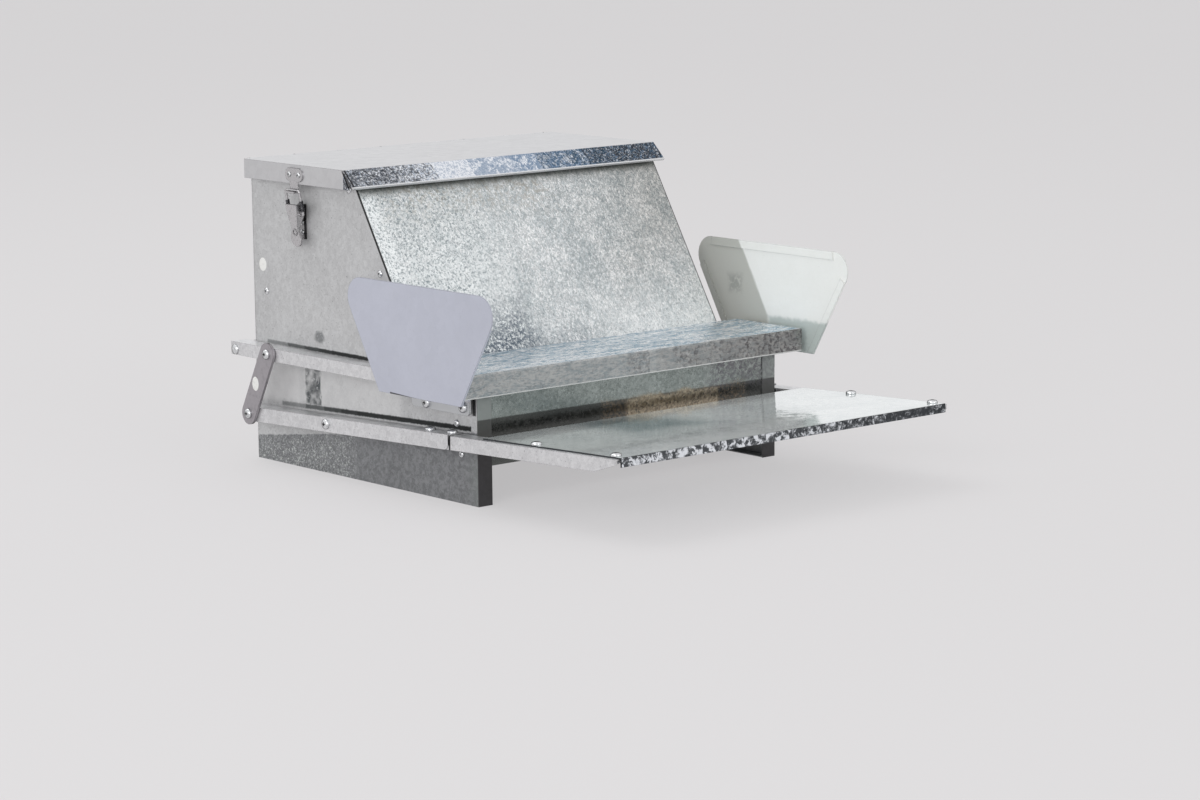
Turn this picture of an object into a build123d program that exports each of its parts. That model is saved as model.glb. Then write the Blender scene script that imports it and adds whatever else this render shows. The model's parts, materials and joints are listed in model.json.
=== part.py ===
"""Treadle feeder for poultry, folded from galvanised sheet steel.

A hopper with a hinged lid feeds a trough at its foot.  A bird that steps on the
treadle plate tips two lower arms; two links lift two upper arms, and these
raise the trough lid with its pair of side wings.  All sizes are millimetres.
X runs across the width, Y back, Z up, with the origin on the ground under the
centre of the whole feeder's box.
"""

import math
import os

from build123d import *

os.makedirs("parts", exist_ok=True)

# Driving dimensions ------------------------------------------------------

# Hopper body
body_width = 352.0
body_depth = 328.0
overall_height = 280.0        # ground to the top of the hopper lid
trough_rim = 106.0            # top of the trough's sides and front
slope_foot = 71.6             # depth of the sloped panel at the trough rim
slope_angle = 58.7            # of the sloped panel from level, degrees
sheet = 1.0                   # sheet of the body and the lids
bend = 1.6                    # outside radius of a fold
front_flange = 15.4
foot_flange = 14.0
rim_flange = 8.0
seam_flange = 18.0            # folded edges by which the panels are riveted
trough_floor = 35.0           # underside of the trough's floor
trough_front_bottom = 34.0
throat = 33.0                 # feed gap under the sloped panel
ramp_start = 118.0            # depth at which the trough's floor starts to rise
ramp_top = 118.0              # height at which the ramp meets the back
pan_flange = 12.0

rim_flange_relief = 24.0      # rim flanges stop this far from the hopper's corners
flange_relief = 15.0          # trough front's side flanges start above its floor

# Hopper lid
lid_overhang = 8.0            # skirt outside the body's side
lid_fold_ahead = 0.8          # fold of the lid ahead of the sloped panel's top
lid_skirt = 17.5
lip_forward = 16.1
lip_drop = 15.2
hem = 6.0
lid_seat = 0.3                # gap under the closed lid
skirt_setback = 2.0           # skirt's front end behind the lid's fold

# Lid hinge
hinge_pin_radius = 2.0
hinge_pin_head = 2.0
hinge_knuckles = 7
hinge_leaf_height = 22.0
hinge_rivet_rise = 7.0        # above the leaf's lower edge
running = 0.05                # radial clearance of everything that turns

# Lower arms, treadle rails and treadle plate
arm_gap = 19.0                # body's side to the outer face of every arm
arm_clear = 2.5               # body's side to the inner edge of the arms' flanges
arm_sheet = 1.2
arm_tilt = 2.3                # front end of the treadle stands higher, degrees
treadle_pivot = (194.4, 50.7)     # depth and height
lower_arm_reach = 177.0       # pivot to the front end of the lower arm
arm_end = 7.0                 # arm behind the link's lower bolt
arm_above_pivot = 6.0
arm_below_pivot = 7.5
arm_corner = 6.0
bush_wall = 2.1
treadle_front = 399.0         # pivot to the front of the treadle plate
rail_front = 397.0
rail_back = 112.0
rail_taper = 28.0
rail_nose = 4.5               # height of the rail's front end
treadle_sheet = 1.2
treadle_inset = 5.0           # plate's side edge inside the arms' outer faces
treadle_rear_gap = 25.0       # treadle plate to the body's front
treadle_lip = 8.0
lip_clear = 1.0               # plate's folds inside the rails' flanges
flange_bolt_inset = 9.5       # bolts in the arms' flanges, from the outer face
joint_bolt_inset = 5.4        # from the lower arm's front end
joint_bolt_pitch = 30.8
plate_bolt_inset = 11.6       # from the treadle plate's front
plate_bolt_pitch = 102.0

# Upper arms
rear_pivot_behind = 6.0       # behind the body's back
rear_pivot_height = 103.3
rear_rod_radius = 3.0
upper_arm_top = 110.3
upper_arm_depth = 12.0
upper_arm_front = -8.0
arm_tail = 6.5                # arm behind the rear pivot
bracket_inset = 4.0           # rod bracket's ear inside the body's side
bracket_width = 32.0
bracket_height = 26.0
bracket_rivet_rise = 8.0
back_rivet_inset = 26.0       # outermost rivets of the back, from the body's side

# Links
link_low_ahead = 16.6         # lower bolt ahead of the body's back
link_low_height = 46.0
link_high_ahead = 47.7        # upper bolt ahead of the body's back
link_high_height = 104.7
link_width = 20.5
link_sheet = 2.5
link_gap = 0.4                # link to arm
loose_hole = 0.85             # radial freedom of the links' upper holes

# Trough lid
trough_lid_overhang = 5.0     # outside the arms' outer faces
trough_lid_top = 118.0
trough_lid_front = -11.4
trough_lid_lip = 20.6
trough_lid_gap = 1.6          # rear edge to the sloped panel

# Wings
wing_gap = 14.0               # arms' outer faces to the wing's outer face
wing_top = 192.0
wing_foot = 94.0
wing_foot_front = -18.7
wing_foot_back = 95.6
wing_top_front = -76.7
wing_top_back = 151.8
wing_radius = 18.0
wing_hem = 8.0
shelf_front = 5.0
shelf_back = 86.0
shelf_bend = 0.6
tab_bottom = 79.5
tab_corner = 4.0
tab_clear = 1.0               # ends of the wings' bolts to the body's side
wing_bolt_places = ((64.3, 84.7), (13.0, 86.6))

# Toggle latches
latch_depth = 248.6
latch_sheet = 1.2
catch_head_drop = 9.1         # rivets of the catch below the lid's top
catch_head_radius = 6.1
catch_rivet_spread = 7.0
catch_neck = 12.6
catch_lip = 0.7               # height of the hook's lip
bail_wire = 1.1               # radius
bail_bar_out = 3.2            # bail's cross bar outside the lid's skirt
bail_bar_drop = 23.0          # and below the lid's top
bail_spread = 10.4            # half the distance between its legs
bail_bend = 1.8
hook_clear = 0.6              # cross bar to the hook's lip
lever_pivot_out = 8.5         # lever's pivot outside the body's side
lever_pivot_drop = 40.0
bail_pivot_in = 1.6           # bail's pivot nearer the body than the lever's
bail_pivot_drop = 5.8
lever_lean = 9.5              # lever's foot nearer the body, degrees
lever_standoff = 4.2          # outer face of the lever from its pivot
lever_rise = 5.0              # above the pivot
lever_length = 34.5           # below the pivot
lever_width = 16.0
lever_neck = 9.4
lever_neck_top = 17.0         # below the pivot
lever_neck_bottom = 19.5
tongue_shoulder = 26.5        # below the pivot, where the tongue is widest
cheek_depth = 7.6             # lever's folded cheeks
cheek_toe = 2.6
cheek_crown = 3.0
cheek_lug = 8.0               # below the pivot, where the cheeks start to narrow
eyelet_drop = 21.0            # eyelet in the lever's neck
eyelet_radius = 3.3
eyelet_bore = 2.3
eyelet_height = 0.6
latch_pin_radius = 1.5
latch_pin_end = 0.2           # pin beyond the cheeks
ear_clear = 1.4               # base's ears to the cheeks
ear_foot_rise = 0.5
ear_foot_drop = 9.0
ear_radius = 2.7
base_above = 4.0              # base plate above the pivot
base_below = 28.0
base_rivet_drops = (13.0, 22.0)
spring_radius = 2.0
spring_start = 3.2            # along the leg from the bail's pivot
spring_length = 11.0

# Fasteners
rivet_radius = 1.6
rivet_head = 3.2
rivet_head_height = 1.8
rivet_tail = 1.5              # rivet's shank beyond its sheets
latch_rivet_head = 2.6
latch_rivet_height = 1.2
bolt_radius = 2.5
bolt_head = 4.8
bolt_head_height = 3.0
bolt_tail = 1.0               # bolt's shank beyond its nut
nut_height = 3.2
low_nut_height = 1.6          # of the wings' bolts, beside the body
low_nut_tail = 0.2
nut_ratio = 1.75              # nut's corner radius to its bolt's
head_edge = 0.3               # straight edge of a head, as a share of its height
hole_clearance = 0.1
rear_rivet = (20.0, 158.5)        # ahead of the body's back, and height
slope_rivet_drops = (88.0, 16.7)  # below the hopper's rim
slope_rivet_inset = 11.3          # behind the sloped panel
trough_rivet = (28.7, 70.1)
floor_rivet = (22.6, 8.8)         # depth, and height above the trough's floor

# Places worked out from them ---------------------------------------------

half = body_width / 2
inner = half - sheet                                  # inside of the body's sides
lid_half = half + lid_overhang
arm_face = half + arm_gap
arm_inner = half + arm_clear
wing_face = arm_face + wing_gap
tab_face = half + tab_clear + low_nut_tail + low_nut_height + arm_sheet + sheet
flange_bolt_x = arm_face - flange_bolt_inset
link_face = arm_face + link_gap
rear_pivot = (body_depth + rear_pivot_behind, rear_pivot_height)
link_low = (body_depth - link_low_ahead, link_low_height)
link_high = (body_depth - link_high_ahead, link_high_height)
treadle_reach = treadle_front - treadle_pivot[0]      # in front of the body
tail_end = rear_pivot[0] + arm_tail
front = treadle_reach - (treadle_reach + tail_end) / 2
tilt = math.radians(arm_tilt)

rim = overall_height - sheet - lid_seat
slope = math.radians(slope_angle)
slope_length = (rim - trough_rim) / math.sin(slope)
slope_sheet_run = sheet / math.sin(slope)
slope_top_depth = slope_foot + (rim - trough_rim) / math.tan(slope)
slope_reach = (trough_rim - trough_floor - sheet - throat) / math.sin(slope)
slope_plane = Plane(origin=(0, front + slope_foot, trough_rim), x_dir=(1, 0, 0),
                    z_dir=(0, -math.sin(slope), math.cos(slope)))
lid_fold_depth = slope_top_depth - lid_fold_ahead
trough_lid_back = slope_foot + (trough_lid_top - trough_rim) / math.tan(slope) - trough_lid_gap
slope_rivets = [(slope_top_depth - drop / math.tan(slope) + slope_rivet_inset, rim - drop)
                for drop in slope_rivet_drops]
back_rivet = (body_depth - rear_rivet[0], rear_rivet[1])
ramp_rivet = (floor_rivet[0], trough_floor + floor_rivet[1])
side_rivets = [back_rivet, trough_rivet, ramp_rivet, *slope_rivets]

knuckle_radius = hinge_pin_radius + running + sheet
hinge_depth = body_depth + knuckle_radius
hinge_height = overall_height - knuckle_radius
hinge_axis = Plane(origin=(0, front + hinge_depth, hinge_height), x_dir=(0, 1, 0),
                   z_dir=(1, 0, 0))
leaf_bottom = hinge_height - hinge_leaf_height
rivet_reach = half - back_rivet_inset

catch_head = overall_height - catch_head_drop
bail_bar = (lid_half + bail_bar_out, overall_height - bail_bar_drop)
lever_pivot = (half + lever_pivot_out, overall_height - lever_pivot_drop)
bail_pivot = (lever_pivot[0] - bail_pivot_in, lever_pivot[1] - bail_pivot_drop)
ear_outer = lever_width / 2 - latch_sheet - ear_clear


# Planes and small shapes -------------------------------------------------

def across(x):
    """Plane across the width at x: local x runs back from the body's front, y up."""
    return Plane(origin=(x, front, 0), x_dir=(0, 1, 0), z_dir=(1, 0, 0))


def level(z):
    """Level plane at height z: local y runs back from the body's front."""
    return Plane(origin=(0, front, z))


def upright(depth):
    """Upright plane facing forward, this far behind the body's front."""
    return Plane(origin=(0, front + depth, 0), x_dir=(1, 0, 0), z_dir=(0, -1, 0))


def along_arm(x):
    """Plane across the width at x, with local x back along the tilted arm from its pivot."""
    return Plane(origin=(x, front + treadle_pivot[0], treadle_pivot[1]),
                 x_dir=(0, math.cos(tilt), -math.sin(tilt)), z_dir=(1, 0, 0))


def arm_top_plane(height):
    """Plane along the tilted arms, this far above their pivot: local y runs back."""
    base = along_arm(0)
    return Plane(origin=base.origin + base.y_dir * height, x_dir=(1, 0, 0), z_dir=base.y_dir)


def rect(x0, y0, x1, y1, mode=Mode.ADD):
    """Rectangle between two corners, in the sketch being drawn."""
    with Locations(((x0 + x1) / 2, (y0 + y1) / 2)):
        Rectangle(abs(x1 - x0), abs(y1 - y0), mode=mode)


def strip(plane, points, thickness, radius=bend):
    """Section of a folded sheet: a line with rounded folds, thickened to its left,
    or to its right where the thickness is negative."""
    with BuildSketch(plane) as section:
        with BuildLine():
            if len(points) > 2:
                FilletPolyline(*points, radius=radius)
            else:
                Line(*points)
            offset(amount=abs(thickness), side=Side.LEFT if thickness > 0 else Side.RIGHT)
        make_face()
    return section.sketch


def turning_plane(seat, outward):
    """Plane for a turned section: local y runs outward along the axis from the seat."""
    radial = Vector(1, 0, 0) if abs(outward[2]) > abs(outward[0]) else Vector(0, 0, 1)
    return Plane(origin=seat, x_dir=radial, z_dir=radial.cross(Vector(*outward)))


def domed_pin(seat, outward, head_radius, head_height, shank_radius, length):
    """A headed pin: a domed head on the seat, and a plain shank behind it."""
    plane = turning_plane(seat, outward)
    rim_height = head_height * head_edge
    dome = head_height - rim_height
    dome_radius = (head_radius ** 2 + dome ** 2) / (2 * dome)
    half_angle = math.asin(head_radius / dome_radius) / 2
    middle = (dome_radius * math.sin(half_angle),
              head_height - dome_radius * (1 - math.cos(half_angle)))
    with BuildPart() as pin:
        with BuildSketch(plane):
            with BuildLine():
                ThreePointArc((0, head_height), middle, (head_radius, rim_height))
                Polyline((head_radius, rim_height), (head_radius, 0), (shank_radius, 0),
                         (shank_radius, -length), (0, -length), (0, head_height))
            make_face()
        revolve(axis=Axis(plane.origin, plane.y_dir))
    return pin.part


def nut(seat, outward, shank_radius, height):
    """A hexagon nut on its seat, facing outward."""
    with BuildPart() as piece:
        with BuildSketch(Plane(origin=seat, z_dir=outward)):
            RegularPolygon(radius=shank_radius * nut_ratio, side_count=6)
            Circle(shank_radius + running, mode=Mode.SUBTRACT)
        extrude(amount=height)
    return piece.part


def bolt_and_nut(seat, outward, grip, nut_size=nut_height, tail=bolt_tail):
    """A pan-head bolt through a grip, with its nut on the far side."""
    far = Vector(*seat) - Vector(*outward) * grip
    return [domed_pin(seat, outward, bolt_head, bolt_head_height, bolt_radius,
                      grip + nut_size + tail),
            nut(far, Vector(*outward) * -1, bolt_radius, nut_size)]


def both_sides(pieces):
    """Pieces of the right-hand side together with their mirrored copies."""
    return list(pieces) + [mirror(piece, about=Plane.YZ, mode=Mode.PRIVATE) for piece in pieces]


def keep_group(pieces, name):
    """Write several separate solids as one node."""
    group = Compound(label=name, children=list(pieces))
    export_step(group, f"parts/{name}.step")


def keep(builder, name):
    """Label a finished piece and write it."""
    builder.part.label = name
    export_step(builder.part, f"parts/{name}.step")


# Hopper body ---------------------------------------------------------------

def side_panel(side):
    """Side of the hopper and trough: one sheet with flanges at front, foot and rim."""
    rear = body_depth - sheet
    with BuildPart() as panel:
        with BuildSketch(across(inner)):
            with BuildLine():
                Polyline((0, 0), (rear, 0), (rear, rim), (slope_top_depth + slope_sheet_run, rim),
                         (slope_foot + slope_sheet_run, trough_rim), (0, trough_rim), (0, 0))
            make_face()
            with Locations(*side_rivets):
                Circle(rivet_radius + hole_clearance, mode=Mode.SUBTRACT)
            with Locations(treadle_pivot):
                Circle(bolt_radius + hole_clearance, mode=Mode.SUBTRACT)
            with Locations(*latch_screw_places()):
                Circle(rivet_radius + hole_clearance, mode=Mode.SUBTRACT)
        extrude(amount=sheet)
        with BuildSketch(upright(sheet)):
            rect(half - front_flange, 0, inner, trough_rim)
        extrude(amount=sheet)
        with BuildSketch(level(0)):
            rect(half - foot_flange, sheet, inner, rear - sheet)
        extrude(amount=sheet)
        with BuildSketch(level(rim - sheet)):
            rect(half - rim_flange, slope_top_depth + rim_flange_relief,
                 inner, rear - rim_flange_relief)
        extrude(amount=sheet)
        if side == "left":
            mirror(about=Plane.YZ, mode=Mode.REPLACE)
    keep(panel, f"side_panel_{side}")


def hopper_front_panel():
    """Sloped front of the hopper, reaching down into the trough, with side flanges."""
    with BuildPart() as panel:
        with BuildSketch(slope_plane):
            rect(-half, sheet, half, slope_length)
            rect(-inner, -slope_reach, inner, sheet)
        extrude(amount=-sheet)
        with BuildSketch(slope_plane.offset(-sheet)):
            for end in (-1, 1):
                rect(end * (inner - sheet), -slope_reach / 2, end * inner, slope_length - 2 * sheet)
        extrude(amount=-seam_flange)
        with BuildSketch(across(-half)):
            with Locations(*slope_rivets):
                Circle(rivet_radius + hole_clearance)
        extrude(amount=body_width, mode=Mode.SUBTRACT)
    keep(panel, "hopper_front_panel")


def back_panel():
    """Back of the hopper, with seam flanges above and below the feed ramp."""
    face = body_depth - sheet
    with BuildPart() as panel:
        with BuildSketch(upright(body_depth)):
            rect(-half, 0, half, rim)
        extrude(amount=sheet)
        with BuildSketch(level(rim - sheet)):
            rect(-inner + seam_flange, face - rim_flange, inner - seam_flange, face)
        extrude(amount=sheet)
        with BuildSketch(level(0)):
            rect(-half + foot_flange + sheet, face - foot_flange,
                 half - foot_flange - sheet, face)
        extrude(amount=sheet)
        for end in (-1, 1):
            with BuildSketch(upright(face)):
                edge = end * (inner - sheet)
                rect(edge, ramp_top + seam_flange + sheet, end * inner, rim - 2 * sheet)
                rect(edge, foot_flange, end * inner, ramp_top - 2 * seam_flange)
            extrude(amount=1.5 * seam_flange)
        with BuildSketch(across(-half)):
            with Locations(back_rivet):
                Circle(rivet_radius + hole_clearance)
        extrude(amount=body_width, mode=Mode.SUBTRACT)
        with BuildSketch(upright(body_depth + sheet)):
            with Locations(*back_rivet_places()):
                Circle(rivet_radius + hole_clearance)
        extrude(amount=3 * sheet, mode=Mode.SUBTRACT)
    keep(panel, "back_panel")


def trough_front_panel():
    """Front of the trough, behind the side panels' flanges."""
    profile = ((2 * sheet + pan_flange, trough_front_bottom), (sheet, trough_front_bottom),
               (sheet, trough_rim), (2 * sheet + rim_flange, trough_rim))
    with BuildPart() as panel:
        extrude(strip(across(-inner), profile, -sheet), amount=2 * inner)
        with BuildSketch(upright(2 * sheet)):
            for end in (-1, 1):
                rect(end * (inner - sheet), trough_floor + flange_relief,
                     end * inner, trough_rim - 2 * sheet)
        extrude(amount=-2 * seam_flange)
        with BuildSketch(across(-half)):
            with Locations(trough_rivet):
                Circle(rivet_radius + hole_clearance)
        extrude(amount=body_width, mode=Mode.SUBTRACT)
    keep(panel, "trough_front_panel")


def feed_ramp():
    """Trough floor that rises as a ramp to the back, with upturned edges."""
    rear = body_depth - sheet
    profile = ((2 * sheet + bend, trough_floor), (ramp_start, trough_floor),
               (rear, ramp_top), (rear, ramp_top + pan_flange))
    with BuildPart() as ramp:
        extrude(strip(across(-inner), profile, sheet), amount=2 * inner)
        for edge in (-inner, inner - sheet):
            extrude(strip(across(edge), profile[:3], pan_flange, radius=pan_flange + bend),
                    amount=sheet)
        with BuildSketch(across(-half)):
            with Locations(ramp_rivet):
                Circle(rivet_radius + hole_clearance)
        extrude(amount=body_width, mode=Mode.SUBTRACT)
    keep(ramp, "feed_ramp")


def latch_screw_places():
    """Depth and height of the rivets that hold a latch's base to the side."""
    return [(latch_depth, lever_pivot[1] - drop) for drop in base_rivet_drops]


def leaf_rivet_places():
    """Places of the hinge leaf's rivets on the back."""
    height = leaf_bottom + hinge_rivet_rise
    return [(x, height) for x in (-rivet_reach, -rivet_reach / 3, rivet_reach / 3, rivet_reach)]


def bracket_rivet_places(end):
    """Places of the rivets of one rod bracket on the back."""
    return [(end * rivet_reach, rear_pivot[1] + rise)
            for rise in (-bracket_rivet_rise, bracket_rivet_rise)]


def back_rivet_places():
    """Places of all the rivets on the back."""
    return leaf_rivet_places() + bracket_rivet_places(-1) + bracket_rivet_places(1)


def seam_rivet(seat, outward):
    """A domed rivet through two sheets."""
    return domed_pin(seat, outward, rivet_head, rivet_head_height, rivet_radius,
                     2 * sheet + rivet_tail)


def body_rivets():
    """Rivets of the seams, the hinge leaf and the rod brackets."""
    sides = [seam_rivet((half, front + depth, height), (1, 0, 0)) for depth, height in side_rivets]
    back = [seam_rivet((x, front + body_depth + sheet, height), (0, 1, 0))
            for x, height in back_rivet_places()]
    keep_group(both_sides(sides) + back, "body_rivets")


def treadle_pivots():
    """Shouldered bolts on which the lower arms rock, and the bushes behind them."""
    depth, height = treadle_pivot
    seat = (arm_face + running, front + depth, height)
    grip = arm_face + running - half + sheet
    keep_group(both_sides(bolt_and_nut(seat, (1, 0, 0), grip)), "treadle_pivot_bolts")
    bush_end = arm_face - arm_sheet - 2 * running
    with BuildPart() as bush:
        with BuildSketch(across(half)):
            with Locations(treadle_pivot):
                Circle(bolt_radius + bush_wall)
                Circle(bolt_radius + running, mode=Mode.SUBTRACT)
        extrude(amount=bush_end - half)
    keep_group(both_sides([bush.part]), "treadle_pivot_bushes")


def rear_pivot_bracket(side):
    """Angle bracket on the back that carries the rear pivot rod."""
    depth, height = rear_pivot
    ear = half - bracket_inset
    top, bottom = height + bracket_height / 2, height - bracket_height / 2
    with BuildPart() as bracket:
        with BuildSketch(upright(body_depth + sheet)):
            rect(ear - bracket_width, bottom, ear, top)
            with Locations(*bracket_rivet_places(1)):
                Circle(rivet_radius + hole_clearance, mode=Mode.SUBTRACT)
        extrude(amount=sheet)
        with BuildSketch(across(ear - arm_sheet)):
            with BuildLine():
                Polyline((body_depth, top), (body_depth, bottom), (depth, height - arm_tail))
                ThreePointArc((depth, height - arm_tail), (depth + arm_tail, height),
                              (depth, height + arm_tail))
                Line((depth, height + arm_tail), (body_depth, top))
            make_face()
            with Locations(rear_pivot):
                Circle(rear_rod_radius + running, mode=Mode.SUBTRACT)
        extrude(amount=arm_sheet)
        if side == "left":
            mirror(about=Plane.YZ, mode=Mode.REPLACE)
    keep(bracket, f"rear_pivot_bracket_{side}")


def rear_pivot_rod():
    """Rod behind the back on which both upper arms turn, with domed ends."""
    seat = (arm_face + running, front + rear_pivot[0], rear_pivot[1])
    right = domed_pin(seat, (1, 0, 0), bolt_head, bolt_head_height, rear_rod_radius,
                      arm_face + running)
    with BuildPart() as rod:
        add(right)
        mirror(about=Plane.YZ)
    keep(rod, "rear_pivot_rod")


# Hinge and hopper lid --------------------------------------------------------

def knuckle_spans(first):
    """Spans along the hinge of every second knuckle, from the first or second one."""
    pitch = body_width / hinge_knuckles
    gap = 2 * lid_seat
    return [(-half + i * pitch + gap / 2, -half + (i + 1) * pitch - gap / 2)
            for i in range(first, hinge_knuckles, 2)]


def hinge_leaf():
    """Body half of the long lid hinge: a riveted leaf with rolled knuckles."""
    with BuildPart() as leaf:
        with BuildSketch(upright(body_depth + sheet)):
            rect(-inner, leaf_bottom, inner, hinge_height - knuckle_radius - lid_seat)
            for x0, x1 in knuckle_spans(0):
                rect(x0, leaf_bottom, x1, hinge_height)
            with Locations(*leaf_rivet_places()):
                Circle(rivet_radius + hole_clearance, mode=Mode.SUBTRACT)
        extrude(amount=sheet)
        for x0, x1 in knuckle_spans(0):
            with BuildSketch(hinge_axis.offset(x0)):
                Circle(knuckle_radius)
            extrude(amount=x1 - x0)
        with BuildSketch(hinge_axis.offset(-half)):
            Circle(hinge_pin_radius + running)
        extrude(amount=body_width, mode=Mode.SUBTRACT)
    keep(leaf, "hinge_leaf")


def hinge_pin():
    """Pin of the lid hinge, headed at both ends."""
    end = half + lid_seat
    seat = (end, front + hinge_depth, hinge_height)
    right = domed_pin(seat, (1, 0, 0), knuckle_radius, hinge_pin_head, hinge_pin_radius, end)
    with BuildPart() as pin:
        add(right)
        mirror(about=Plane.YZ)
    keep(pin, "hinge_pin")


def hopper_lid():
    """Hinged lid: top with a sloping hemmed lip, side skirts and rolled knuckles."""
    lip = Vector(lid_fold_depth - lip_forward, overall_height - lip_drop)
    up_lip = Vector(lip_forward, lip_drop).normalized()
    behind = Vector(up_lip.Y, -up_lip.X) * sheet
    rear_edge = body_depth - lid_seat
    under = overall_height - sheet
    skirt_bottom = overall_height - lid_skirt
    skirt_front = lid_fold_depth + skirt_setback
    profile = (lip, (lid_fold_depth, overall_height), (rear_edge, overall_height))
    with BuildPart() as lid:
        extrude(strip(across(-lid_half), profile, -sheet), amount=2 * lid_half)
        with BuildSketch(across(-lid_half)):
            with BuildLine():
                Polyline(lip + behind, lip + behind + up_lip * hem, lip + 2 * behind + up_lip * hem,
                         lip + 2 * behind, close=True)
            make_face()
        extrude(amount=2 * lid_half)
        for edge in (-lid_half, lid_half - sheet):
            with BuildSketch(across(edge)):
                with BuildLine():
                    Polyline((rear_edge, under), (rear_edge, skirt_bottom),
                             (skirt_front - lid_skirt / math.tan(slope), skirt_bottom),
                             (skirt_front, under), close=True)
                make_face()
            extrude(amount=sheet)
        for x0, x1 in knuckle_spans(1):
            with BuildSketch(level(under)):
                rect(x0, rear_edge - sheet, x1, hinge_depth)
            extrude(amount=sheet)
            with BuildSketch(hinge_axis.offset(x0)):
                Circle(knuckle_radius)
            extrude(amount=x1 - x0)
        with BuildSketch(hinge_axis.offset(-half)):
            Circle(hinge_pin_radius + running)
        extrude(amount=body_width, mode=Mode.SUBTRACT)
        with BuildSketch(across(-lid_half)):
            with Locations(*catch_rivet_places()):
                Circle(rivet_radius + hole_clearance)
        extrude(amount=2 * lid_half, mode=Mode.SUBTRACT)
    keep(lid, "hopper_lid")


# Toggle latches --------------------------------------------------------------

def catch_rivet_places():
    """Depth and height of the two rivets of a catch plate."""
    return [(latch_depth + end * catch_rivet_spread, catch_head) for end in (-1, 1)]


def latch_catch(side):
    """Catch plate on the lid's skirt: a wide round head, a neck and a shallow hook."""
    ledge_top = bail_bar[1] - bail_wire - lid_seat
    lip_inner = bail_bar[0] + bail_wire + hook_clear
    face = lid_half + latch_sheet
    with BuildPart() as catch:
        with BuildSketch(across(lid_half)):
            with Locations((latch_depth, catch_head)):
                SlotCenterToCenter(2 * catch_rivet_spread, 2 * catch_head_radius)
            rect(latch_depth - catch_neck / 2, ledge_top - latch_sheet,
                 latch_depth + catch_neck / 2, catch_head)
            with Locations(*catch_rivet_places()):
                Circle(rivet_radius + hole_clearance, mode=Mode.SUBTRACT)
        extrude(amount=latch_sheet)
        with BuildSketch(upright(latch_depth + catch_neck / 2)):
            rect(face, ledge_top - latch_sheet, lip_inner + latch_sheet, ledge_top)
            rect(lip_inner, ledge_top, lip_inner + latch_sheet, ledge_top + catch_lip)
        extrude(amount=catch_neck)
        if side == "left":
            mirror(about=Plane.YZ, mode=Mode.REPLACE)
    keep(catch, f"latch_catch_{side}")


def catch_rivets():
    """Rivets of both catch plates."""
    grip = latch_sheet + sheet
    rivets = [domed_pin((lid_half + latch_sheet, front + depth, height), (1, 0, 0),
                        latch_rivet_head, latch_rivet_height, rivet_radius, grip + rivet_tail)
              for depth, height in catch_rivet_places()]
    keep_group(both_sides(rivets), "catch_rivets")


def latch_base(side):
    """Base plate of a latch, with two ears folded up for the lever's pin."""
    x, height = lever_pivot
    with BuildPart() as base:
        with BuildSketch(across(half)):
            rect(latch_depth - ear_outer, height - base_below,
                 latch_depth + ear_outer, height + base_above)
            with Locations(*latch_screw_places()):
                Circle(rivet_radius + hole_clearance, mode=Mode.SUBTRACT)
        extrude(amount=latch_sheet)
        for edge in (-ear_outer, ear_outer - latch_sheet):
            with BuildSketch(upright(latch_depth + edge + latch_sheet)):
                with BuildLine():
                    Polyline((x, height + ear_radius), (half, height + ear_foot_rise),
                             (half, height - ear_foot_drop), (x, height - ear_radius))
                    ThreePointArc((x, height - ear_radius), (x + ear_radius, height),
                                  (x, height + ear_radius))
                make_face()
                with Locations(lever_pivot):
                    Circle(latch_pin_radius + running, mode=Mode.SUBTRACT)
            extrude(amount=latch_sheet)
        if side == "left":
            mirror(about=Plane.YZ, mode=Mode.REPLACE)
    keep(base, f"latch_base_{side}")


def latch_pins_and_rivets():
    """Pivot pins of both levers, and the rivets of their bases."""
    reach = lever_width / 2 + latch_pin_end
    with BuildPart() as pin:
        with BuildSketch(upright(latch_depth + reach)):
            with Locations(lever_pivot):
                Circle(latch_pin_radius)
        extrude(amount=2 * reach)
    keep_group(both_sides([pin.part]), "latch_pins")
    grip = latch_sheet + sheet
    rivets = [domed_pin((half + latch_sheet, front + depth, height), (1, 0, 0),
                        latch_rivet_head, latch_rivet_height, rivet_radius, grip + rivet_tail)
              for depth, height in latch_screw_places()]
    keep_group(both_sides(rivets), "latch_base_rivets")


def lever_face():
    """Plane of a lever's outer face, leaning in at its foot: local x runs back, y up."""
    lean = math.radians(lever_lean)
    outward = Vector(math.cos(lean), 0, -math.sin(lean))
    pivot = Vector(lever_pivot[0], front + latch_depth, lever_pivot[1])
    return Plane(origin=pivot + outward * lever_standoff, x_dir=(0, 1, 0), z_dir=outward)


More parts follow.
